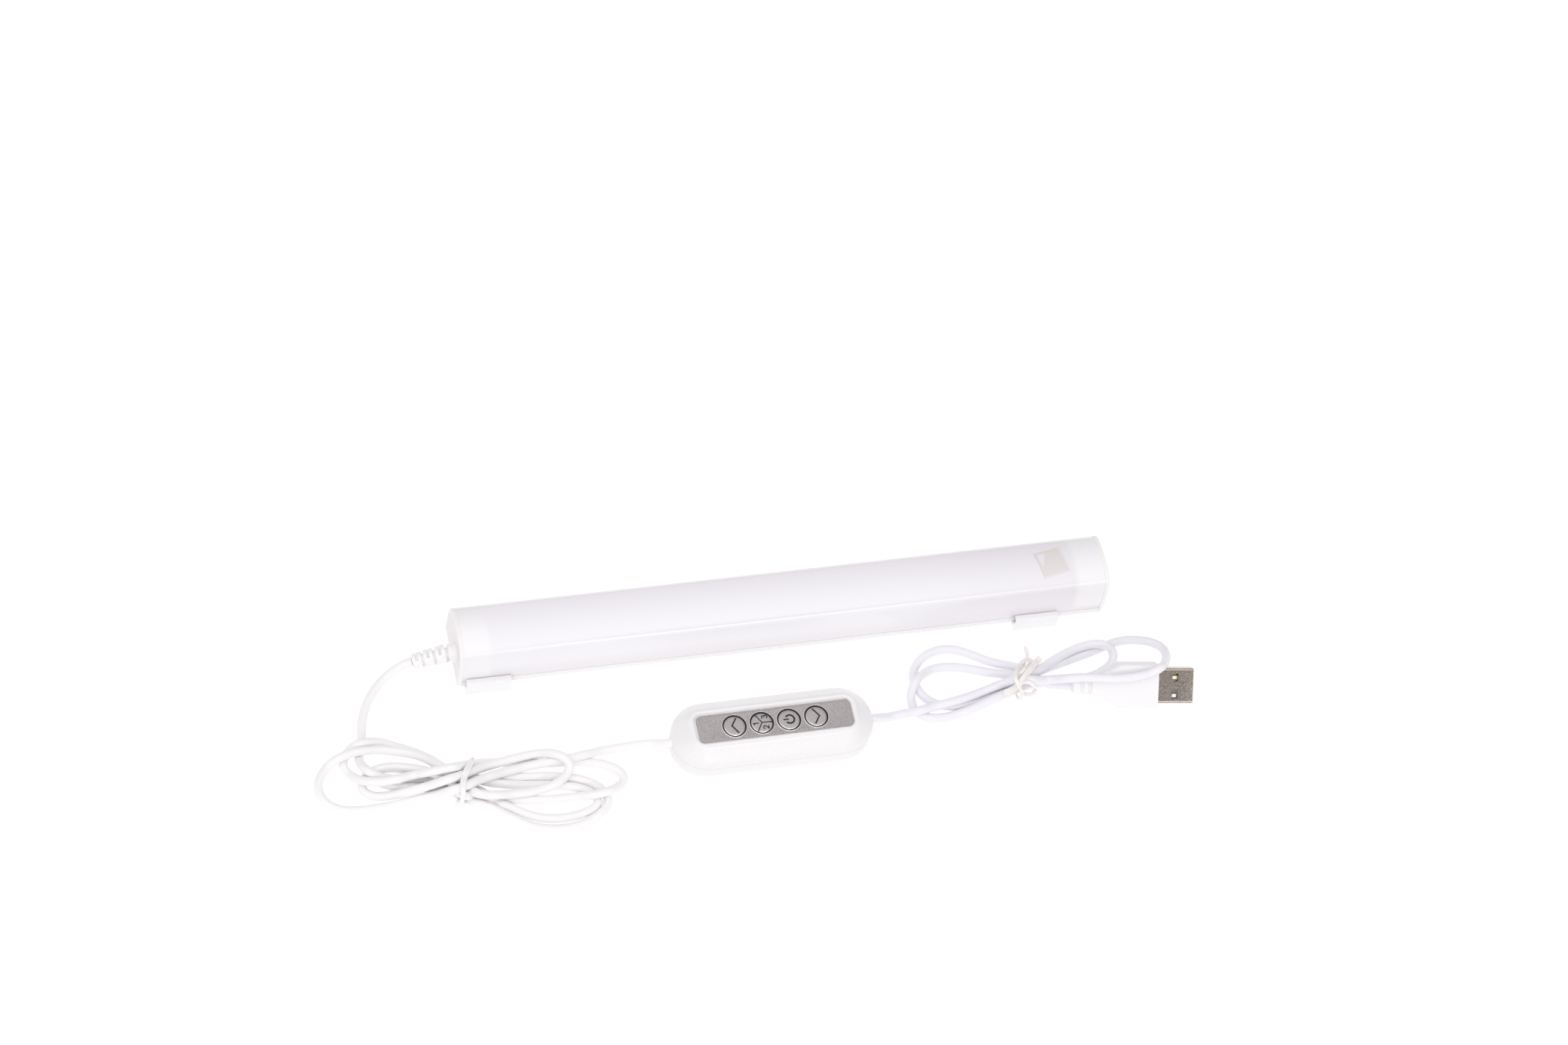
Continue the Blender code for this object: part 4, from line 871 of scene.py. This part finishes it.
INK0, INK1 = 12.28, 12.36
print_and_gap_shade_rings, rims = [], []
for i, (nm, bx) in enumerate(zip(("down", "mode", "power", "up"), BTN_X)):
    body = "button_" + nm
    prof = [(3.70, 8.15), (3.72, 8.2), (3.72, 11.62), (3.71, 11.72), (3.65, 11.80), (3.41, 12.07), (3.31, 12.145), (3.16, 12.20),
            (2.98, 12.25), (2.75, 12.277), (2.3, 12.293), (1.6, 12.308), (0.9, 12.317), (0.3, 12.32)]
    btn = joined("btn_" + nm, [turned(bx, CY, prof)], M_BUTTON, body, (body,), smooth=60)
    btn.data.materials.append(M_RIM_PAINTED_HIGHLIGHT)
    # the tilted bevel faces of each button take the brighter film copy, a painted highlight
    for p in btn.data.polygons:
        if 0.45 < p.normal.z < 0.93 and hypot(p.center.x / MM - bx, p.center.y / MM - CY) > 3.2:
            p.material_index = 1
    # black ring in the gap, partly the black print round the hole and partly painted shade of the gap; a raised rim
    # round the hole in the brighter film copy, a painted highlight
    print_and_gap_shade_rings.append(turned(bx, CY, [(3.76, 11.2), (3.76, 12.0), (3.83, 12.06), (3.99, 12.06), (4.06, 12.0), (4.06, 11.2)], closed=True))
    rims.append(turned(bx, CY, [(4.08, 11.9), (4.08, 12.06), (4.12, 12.15), (4.18, 12.17), (4.40, 12.005), (4.40, 11.9)], closed=True))
joined("rim_rings", rims, M_RIM_PAINTED_HIGHLIGHT, "lamp", smooth=60)

# black rings: print round the holes, and painted shade in the gaps
joined("black_rings", print_and_gap_shade_rings, M_INK, "lamp", smooth=40)

CHEV = 0.50
bx = BTN_X[0]
joined("ink_down", [ribbon([(bx + 0.93, CY + 2.75), (bx - 0.90, CY + 0.05), (bx + 0.98, CY - 2.80)], CHEV, INK0, INK1)],
       M_INK, "button_down", smooth=20)
bx = BTN_X[3]
joined("ink_up", [ribbon([(bx - 0.90, CY + 2.80), (bx + 1.08, CY + 0.0), (bx - 0.88, CY - 2.82)], CHEV, INK0, INK1)],
       M_INK, "button_up", smooth=20)
bx = BTN_X[2]
ring = [(bx + 0.22 + 1.50 * cos(radians(a)), CY + 0.0 + 1.50 * sin(radians(a))) for a in np.linspace(-142, 142, 40)]
joined("ink_power", [ribbon(ring, 0.60, INK0, INK1),
                     ribbon([(bx - 1.95, CY + 0.05), (bx - 0.10, CY + 0.02)], 0.50, INK0, INK1)],
       M_INK, "button_power", smooth=20)
bx = BTN_X[1]
marks = [ribbon([(bx, CY), (bx + 3.66 * cos(radians(a)), CY + 3.66 * sin(radians(a)))], 0.36, INK0 - 0.06, INK1 - 0.004 * k)
         for k, a in enumerate((121.0, -1.0, -121.0))]
digits = {
    "1": [[(-0.55, 0.62), (0.02, 1.0), (0.02, -1.0)]],
    "2": [[(-0.62, 0.48), (-0.50, 0.82), (-0.18, 1.0), (0.20, 0.98), (0.52, 0.76), (0.56, 0.40), (0.38, 0.06), (0.0, -0.34),
           (-0.40, -0.70), (-0.62, -0.92), (0.66, -0.92)]],
    "3": [[(-0.58, 0.66), (-0.34, 0.92), (0.04, 1.0), (0.40, 0.88), (0.54, 0.56), (0.42, 0.24), (0.10, 0.08), (-0.14, 0.06)],
          [(0.10, 0.08), (0.46, -0.08), (0.62, -0.44), (0.50, -0.80), (0.12, -1.0), (-0.30, -0.96), (-0.60, -0.70)]]}
for d, (ox, oy) in (("1", (-2.0, -0.12)), ("2", (1.15, -1.84)), ("3", (1.12, 1.92))):
    for j, st in enumerate(digits[d]):
        s_ = 0.92
        pts = [(bx + ox - s_ * v, CY + oy + s_ * u) for u, v in st]
        pts = [tuple(p) for p in catmull([(a, b, 0) for a, b in pts], 4)[:, :2]] if len(pts) > 4 else pts
        marks.append(ribbon(pts, 0.34, INK0, INK1 - 0.003 * j))
joined("ink_mode", marks, M_INK, "button_mode", smooth=20)

# ================================================================== USB plug
FRONT = Vector((134.2, -46.2, 7.2))
plug_m = Matrix.Translation(FRONT * MM) @ Matrix.Rotation(radians(-7.7), 4, "Z") @ Matrix.Rotation(radians(38.0), 4, "X")


def sq(a, b, r, x, n=8):
    """Rounded rectangle at x, with extra points near the corners so the flats shade flat."""
    pts = round_rect(a, b, r, n)
    out = []
    for k in range(4):
        arc_ = pts[k * (n + 1):(k + 1) * (n + 1)]
        p, q = np.array(arc_[-1]), np.array(pts[((k + 1) * (n + 1)) % len(pts)])
        e = min(0.25, 0.15 / max(1e-6, np.linalg.norm(q - p)))
        out += arc_ + [tuple(p + (q - p) * e), tuple(q - (q - p) * e)]
    return [(x, u, v) for u, v in out]


over = [sq(6.9, 3.3, 1.0, -12.3), sq(7.25, 3.6, 1.2, -12.33), sq(7.48, 3.84, 1.35, -12.5), sq(7.55, 3.9, 1.4, -12.8),
        sq(7.55, 3.9, 1.4, -25.0), sq(7.45, 3.88, 1.5, -25.9), sq(6.9, 3.8, 1.7, -26.8), sq(4.5, 3.45, 1.9, -31.2),
        sq(3.95, 3.3, 2.0, -32.3), sq(3.7, 3.2, 2.1, -33.2)]
for x in np.arange(-34.0, -41.31, -0.1):
    r = 3.55 - 0.11 * (-34.0 - x)
    cut = max(0.0, 1 - (abs(x + 35.9) / 0.62) ** 4) + max(0.0, 1 - (abs(x + 38.6) / 0.62) ** 4)
    ring = []
    for _, u, v in sq(r, r * 0.93, 0.75 * r, x):
        k = 1.0 - 0.26 * cut * min(1.0, max(0.0, 0.5 + v / (0.9 * r)))     # the grooves fade below
        ring.append((x, u * k, v * k))
    over.append(ring)
over += [sq(2.55, 2.4, 1.9, -41.5), sq(2.2, 2.1, 1.7, -41.6), sq(1.55, 1.5, 1.3, -41.6)]
skin("plug_overmould", over, M_OVER, "lamp", ("usb_overmold",), smooth=38, to_world=plug_m)

# metal shell: a drawn tube with a rolled lip and four spring windows
T = 0.3
shell_rings = []
for x, ins in ((0.0, 0.10), (-0.06, 0.02), (-0.2, 0.0), (-12.2, 0.0), (-15.2, 0.0)):
    shell_rings.append(sq(6.0 - ins, 2.25 - ins, 0.75, x, 6))
for x, ins in ((-15.2, T), (-12.2, T), (-0.2, T), (-0.06, T - 0.02), (0.0, T - 0.10)):
    shell_rings.append(sq(6.0 - ins, 2.25 - ins, 0.5, x, 6))
shell = skin("plug_shell", shell_rings, M_STEEL, "lamp", ("usb_shell",), closed=True, smooth=40, to_world=plug_m)
cutters = []
for i, (sy, sz) in enumerate(((1, 1), (-1, 1), (1, -1), (-1, -1))):
    me = bpy.data.meshes.new("window_cut_%d" % i)
    bm_ = bmesh.new()
    bmesh.ops.create_cube(bm_, size=1.0)
    bmesh.ops.scale(bm_, vec=mm(2.15, 2.75, 1.2), verts=bm_.verts)
    bmesh.ops.translate(bm_, vec=mm(-6.3, 2.95 * sy, 2.25 * sz), verts=bm_.verts)
    bm_.transform(plug_m)
    bm_.to_mesh(me)
    bm_.free()
    c = bpy.data.objects.new("window_cut_%d" % i, me)
    scene.collection.objects.link(c)
    mod = shell.modifiers.new("w%d" % i, "BOOLEAN")
    mod.operation, mod.solver, mod.object = "DIFFERENCE", "EXACT", c
    cutters.append(c)
bpy.context.view_layer.update()
cut = bpy.data.meshes.new_from_object(shell.evaluated_get(bpy.context.evaluated_depsgraph_get()))
shell.modifiers.clear()
old = shell.data
shell.data = cut
bpy.data.meshes.remove(old)
for c in cutters:
    bpy.data.objects.remove(c, do_unlink=True)
shell.data.set_sharp_from_angle(angle=radians(40))
# springs in the windows: a tongue pressed inwards, with a bright bent foot
springs = []
for i, (sy, sz) in enumerate(((1, 1), (-1, 1), (1, -1), (-1, -1))):
    rings = []
    for k, x in enumerate(np.linspace(-7.28, -5.28, 9)):
        sag = 0.10 + 0.42 * (k / 8.0) ** 1.4
        zc = sz * (2.25 - T - sag)
        rings.append([(x, (2.85 if sy > 0 else -3.35) + a_, zc + b_) for a_, b_ in ((0.55, 0.08), (0.55, -0.08), (-0.55, -0.08), (-0.55, 0.08))])
    springs.append(skin_mesh(rings, to_world=plug_m))
joined("shell_springs", springs, M_BRIGHT, "lamp", smooth=50)


def rbox(name, cx, cy, cz, sx, sy, sz, r, mat, replaces=(), to_world=None, body="lamp"):
    """Box with rounded long edges and chamfered ends."""
    rings = []
    for x, ins in ((-sx / 2, r), (-sx / 2 + r * 0.3, r * 0.3), (-sx / 2 + r, 0), (sx / 2 - r, 0), (sx / 2 - r * 0.3, r * 0.3), (sx / 2, r)):
        rings.append([(cx + x, cy + u, cz + v) for u, v in round_rect(sy / 2 - ins, sz / 2 - ins, r, 3)])
    return skin(name, rings, mat, body, replaces, smooth=40, to_world=to_world)


rbox("plug_tongue", -8.1, 0, -0.85, 13.6, 10.6, 1.6, 0.2, M_INSUL, ("usb_insulator",), plug_m)
for i in range(4):
    rbox("plug_contact_%d" % (i + 1), -6.0, (i - 1.5) * 2.4, 0.03, 8.4, 1.1, 0.22, 0.08, M_GOLD,
         ("usb_contact_%d" % (i + 1),), plug_m)


# ================================================================== twist ties
# Waypoints (mm) of each band's middle line, moved towards the viewer until they clear
# what lies under them.
TIE1_BAND = [(-112.91, -41.14, 6.0), (-113.38, -41.90, 6.0), (-114.16, -43.09, 6.0), (-115.20, -44.83, 6.0),
    (-116.10, -46.35, 6.0), (-116.73, -48.14, 6.0), (-117.19, -49.94, 6.0), (-117.55, -51.76, 6.0), (-117.77,
    -53.48, 6.0)]
TIE1_KNOT = [(-119.37, -53.06, 2.2), (-118.85, -53.72, 2.2), (-118.00, -54.23, 2.2), (-116.99, -54.51, 2.2)]
TIE2_END = [(80.19, -23.95, 7.0), (80.39, -24.89, 7.0), (80.30, -25.99, 7.0), (79.99, -27.44, 7.0), (79.42, -29.09,
    7.0)]
TIE2_MAIN = [(80.09, -29.13, 7.0), (79.14, -29.30, 7.0), (78.10, -29.91, 7.0), (76.65, -31.20, 7.0), (75.48, -32.77,
    7.0), (74.70, -34.39, 7.0), (74.38, -36.06, 7.0), (74.65, -37.69, 7.0), (75.04, -39.58, 7.0), (75.33, -40.97,
    7.0), (75.41, -41.71, 7.0)]
TIE2_CROSS = [(84.82, -29.11, 7.0), (83.77, -29.71, 7.0), (82.34, -30.95, 7.0), (80.00, -33.11, 7.0), (77.95,
    -35.06, 7.0), (76.01, -37.01, 7.0), (73.64, -38.91, 7.0), (71.84, -39.85, 7.0), (70.14, -40.40, 7.0), (69.04,
    -40.31, 7.0)]
TIE2_LEG = [(79.94, -29.28, 7.0), (80.96, -29.24, 7.0), (81.31, -29.64, 7.0), (80.51, -30.59, 7.0), (79.24, -31.66,
    7.0), (77.66, -33.05, 7.0), (76.37, -34.16, 7.0)]
TIE2_KNOT = [(76.68, -36.89, 5.5), (78.05, -36.83, 5.5), (79.51, -37.27, 5.5), (80.41, -38.61, 5.5), (80.48, -39.97,
    5.5), (79.68, -41.09, 5.5), (78.22, -41.59, 5.5), (77.02, -41.43, 5.5), (76.27, -40.84, 5.5)]
EYE = np.array(cam.matrix_world.translation) / MM


def drape(points, clear, solids, n=6):
    """The line through points, lifted along the sight lines until it clears the solids,
    each given as (centre points, radius)."""
    S = catmull(points, n)
    d = EYE - S
    d /= np.linalg.norm(d, axis=1)[:, None]
    lift = np.zeros(len(S))
    for i, p in enumerate(S):
        lift[i] = 14.0
        while lift[i] > 0.0:
            q = p + d[i] * (lift[i] - 0.1)
            if any(((c - q) ** 2).sum(1).min() < (r + clear) ** 2 for c, r in solids):
                break
            lift[i] -= 0.1
    wide = np.array([lift[max(0, i - 3):i + 4].max() for i in range(len(S))])
    soft = np.array([wide[max(0, i - 3):i + 4].mean() for i in range(len(S))])
    return S + d * soft[:, None], d


def strap(points, normals, widths, thick, closed=False):
    """Flat band with rounded edges along points; its flat side faces along normals."""
    S = np.asarray(points, float)
    n = len(S)
    rings = []
    for i in range(n):
        if closed:
            t = S[(i + 1) % n] - S[i - 1]
        else:
            t = S[min(n - 1, i + 1)] - S[max(0, i - 1)]
        t = t / np.linalg.norm(t)
        away = np.asarray(normals[i], float)
        away = away - (away @ t) * t
        away /= max(1e-6, np.linalg.norm(away))
        side = np.cross(t, away)
        w = widths[i]
        sec = round_rect(w / 2, thick / 2, min(w / 2, thick / 2) * 0.95, 4)
        ring = [S[i] + side * u + away * v for u, v in sec]
        rings.append([(p_[0], p_[1], max(0.02, p_[2])) for p_ in ring])
    return skin_mesh(rings, closed)


def taper(n, w, a=3, b=3, least=0.45):
    """Widths with rounded ends."""
    out = []
    for i in range(n):
        e = min(1.0, (i + 0.4) / a if a else 1.0, (n - 1 - i + 0.4) / b if b else 1.0)
        out.append(w * (least + (1 - least) * sqrt(1 - (1 - e) ** 2)))
    return out


def around(front, normals, back_y, x_shift=0.0, low=0.55):
    """Closes a front band behind and under the bundle."""
    a, z = front[-1], front[0]
    extra = [(a[0] + 0.2, a[1] + 1.2, low + 0.2), (a[0] + 0.5 * x_shift, 0.6 * a[1] + 0.4 * back_y, low),
             (z[0] + x_shift, back_y + 0.2, low + 0.6), (z[0] + 0.5 * x_shift, back_y + 0.3, 0.5 * (z[2] + low))]
    way = catmull([a] + extra + [z], 5)[1:-1]
    way[:, 2] = np.maximum(way[:, 2], 0.5)
    c = np.array((0.5 * (a[0] + z[0]), 0.5 * (a[1] + z[1]), 3.0))
    out = way - c
    return np.vstack([front, way]), list(normals) + [o for o in out]


leads = [(lamp_path, CORD_R), (usb_path, CORD_R)]
front1, n1 = drape(TIE1_BAND, 0.42, leads)
ring1, rn1 = around(front1, n1, front1[0][1] + 1.2)
w1 = list(np.interp(np.linspace(0, 1, len(front1)), (0, 0.12, 0.6, 1.0), (2.0, 2.25, 2.2, 1.5)))
w1 += [1.6] * (len(ring1) - len(front1))
knot1, kn1 = drape(TIE1_KNOT, 0.5, [])
knot_w = list(2.7 * np.array(taper(len(knot1), 1.0, 6, 6, 0.35)))


def tube(points, radii, squash=1.0):
    S = np.asarray(points, float)
    rings = []
    for i in range(len(S)):
        t = S[min(len(S) - 1, i + 1)] - S[max(0, i - 1)]
        t /= np.linalg.norm(t)
        side = np.cross(t, (0, 0, 1))
        side /= np.linalg.norm(side)
        u = np.cross(side, t)
        rings.append([S[i] + side * (radii[i] * cos(a_)) + u * (radii[i] * squash * sin(a_))
                      for a_ in np.linspace(0, 2 * pi, 25)[:-1]])
    return skin_mesh(rings)


kr = [1.75 * sqrt(max(0.06, 1 - (abs(2 * i / (len(knot1) - 1) - 0.95) / 1.06) ** 2.6)) for i in range(len(knot1))]
joined("tie_lamp_band", [strap(ring1, rn1, w1, 0.8, closed=True), tube(knot1, kr)], M_TIE1, "lamp",
       ("twist_tie_lamp",), smooth=60)

leg, ln = drape(TIE2_LEG, 0.35, leads)
knot2, k2n = drape(TIE2_KNOT, 0.35, leads)
cross, cn = drape(TIE2_CROSS, 0.40, leads + [(leg, 0.45)])
main, mn = drape(TIE2_MAIN, 0.36, leads)
bulge = np.clip(1.2 - np.abs(np.arange(len(main)) - 0.68 * len(main)) / (0.22 * len(main)), 0, 1)
main = main + mn * (0.95 * bulge)[:, None]
end, en = drape(TIE2_END, 0.38, leads)
shift = main[0] - end[-1]
end = end + shift[None, :] * (np.linspace(0.4, 1, len(end))[:, None] ** 2)
ring2, rn2 = around(main, mn, main[0][1] + 1.0)
w2 = [1.45] * len(main) + [1.4] * (len(ring2) - len(main))
joined("tie_usb_band", [strap(ring2, rn2, w2, 0.55, closed=True),
                        strap(cross, cn, taper(len(cross), 2.15, 3, 8, 0.3), 0.6),
                        strap(leg, ln, [1.15] * len(leg), 0.5),
                        strap(knot2, k2n, [1.25] * len(knot2), 0.55),
                        strap(end, en, taper(len(end), 1.3, 8, 0, 0.25), 0.55)], M_TIE2, "lamp",
       ("twist_tie_usb",), smooth=60)

# ================================================================== inner pieces keep their CAD shape
inner_mats = {"thermal_tape": M_TAPE, "led_board": M_BOARD, "board_resistor_1": M_BLACK, "board_resistor_2": M_BLACK,
              "wire_positive": M_RED, "wire_negative": M_PVC, "controller_board": M_GREEN, "controller_chip": M_BLACK,
              "controller_transistor": M_BLACK}
for n_, o in frame["nodes"].items():
    m = inner_mats.get(n_) or (M_PHOS if n_.startswith("led_") else M_BLACK if n_.startswith("tact_") else None)
    if m is not None:
        if not o.data.materials:
            o.data.materials.append(m)
        for s_ in range(len(o.material_slots)):
            o.material_slots[s_].material = m

# ================================================================== pieces of the case, gathered in a list
case_pieces = [o for o in scene.objects if o.name.startswith(("case_", "faceplate", "btn_", "black_rings", "rim_", "ink_"))]
case_pieces += [o for n_, o in frame["nodes"].items() if n_ in ("controller_board", "controller_chip", "controller_transistor") or n_.startswith("tact_")]

# ================================================================== stage
bm_ = bmesh.new()
bmesh.ops.create_grid(bm_, x_segments=1, y_segments=1, size=6.0)
me = bpy.data.meshes.new("floor")
bm_.to_mesh(me)
bm_.free()
floor = bpy.data.objects.new("floor", me)
scene.collection.objects.link(floor)
floor.location.z = -0.0004
me.materials.append(new_material("floor_white", (0.08, 0.08, 0.08), 0.9, Specular_IOR_Level=0.0,
                                 Emission_Color=(1, 0.995, 1, 1), Emission_Strength=0.98))

world = bpy.data.worlds.new("studio")
scene.world = world
world.use_nodes = True
wn = world.node_tree
bg = wn.nodes["Background"]
tc = wn.nodes.new("ShaderNodeTexCoord")
dot = wn.nodes.new("ShaderNodeVectorMath")
dot.operation = "DOT_PRODUCT"
dot.inputs[1].default_value = Vector((-0.20, -0.43, 0.88)).normalized()
mr = wn.nodes.new("ShaderNodeMapRange")
mr.inputs["From Min"].default_value, mr.inputs["From Max"].default_value = -0.5, 0.95
mr.inputs["To Min"].default_value, mr.inputs["To Max"].default_value = 0.21, 1.18
wn.links.new(tc.outputs["Generated"], dot.inputs[0])
wn.links.new(dot.outputs["Value"], mr.inputs["Value"])
# a dark opening in the white surround, seen only in the plug's bare metal
spot = wn.nodes.new("ShaderNodeVectorMath")
spot.operation = "DOT_PRODUCT"
spot.inputs[1].default_value = Vector((0.235, -0.700, 0.675)).normalized()
dim = wn.nodes.new("ShaderNodeMapRange")
dim.interpolation_type = "SMOOTHSTEP"
dim.inputs["From Min"].default_value, dim.inputs["From Max"].default_value = 0.950, 0.981
dim.inputs["To Min"].default_value, dim.inputs["To Max"].default_value = 1.0, 0.26
zenith = wn.nodes.new("ShaderNodeSeparateXYZ")
lift = wn.nodes.new("ShaderNodeMapRange")
lift.interpolation_type = "SMOOTHSTEP"
lift.inputs["From Min"].default_value, lift.inputs["From Max"].default_value = 0.70, 0.92
lift.inputs["To Min"].default_value, lift.inputs["To Max"].default_value = 0.0, 0.13
plus = wn.nodes.new("ShaderNodeMath")
plus.operation = "ADD"
times = wn.nodes.new("ShaderNodeMath")
times.operation = "MULTIPLY"
wn.links.new(tc.outputs["Generated"], zenith.inputs[0])
wn.links.new(zenith.outputs["Z"], lift.inputs["Value"])
wn.links.new(mr.outputs["Result"], plus.inputs[0])
wn.links.new(lift.outputs["Result"], plus.inputs[1])
wn.links.new(tc.outputs["Generated"], spot.inputs[0])
wn.links.new(spot.outputs["Value"], dim.inputs["Value"])
wn.links.new(plus.outputs[0], times.inputs[0])
wn.links.new(dim.outputs["Result"], times.inputs[1])
wn.links.new(times.outputs[0], bg.inputs["Strength"])
bg.inputs["Color"].default_value = (1.0, 0.99, 1.0, 1.0)


def area_light(name, direction, dist, size, radiance, color=(1, 1, 1)):
    d = bpy.data.lights.new(name, "AREA")
    d.shape = "RECTANGLE"
    d.size, d.size_y = size
    d.energy = radiance * pi * size[0] * size[1]
    d.color = color
    ob = bpy.data.objects.new(name, d)
    scene.collection.objects.link(ob)
    v = Vector(direction).normalized()
    ob.location = v * dist
    ob.rotation_euler = (-v).to_track_quat("-Z", "Y").to_euler()
    return ob


area_light("front_softbox", (0.24, -0.84, 0.49), 1.5, (1.2, 0.07), 7.5)
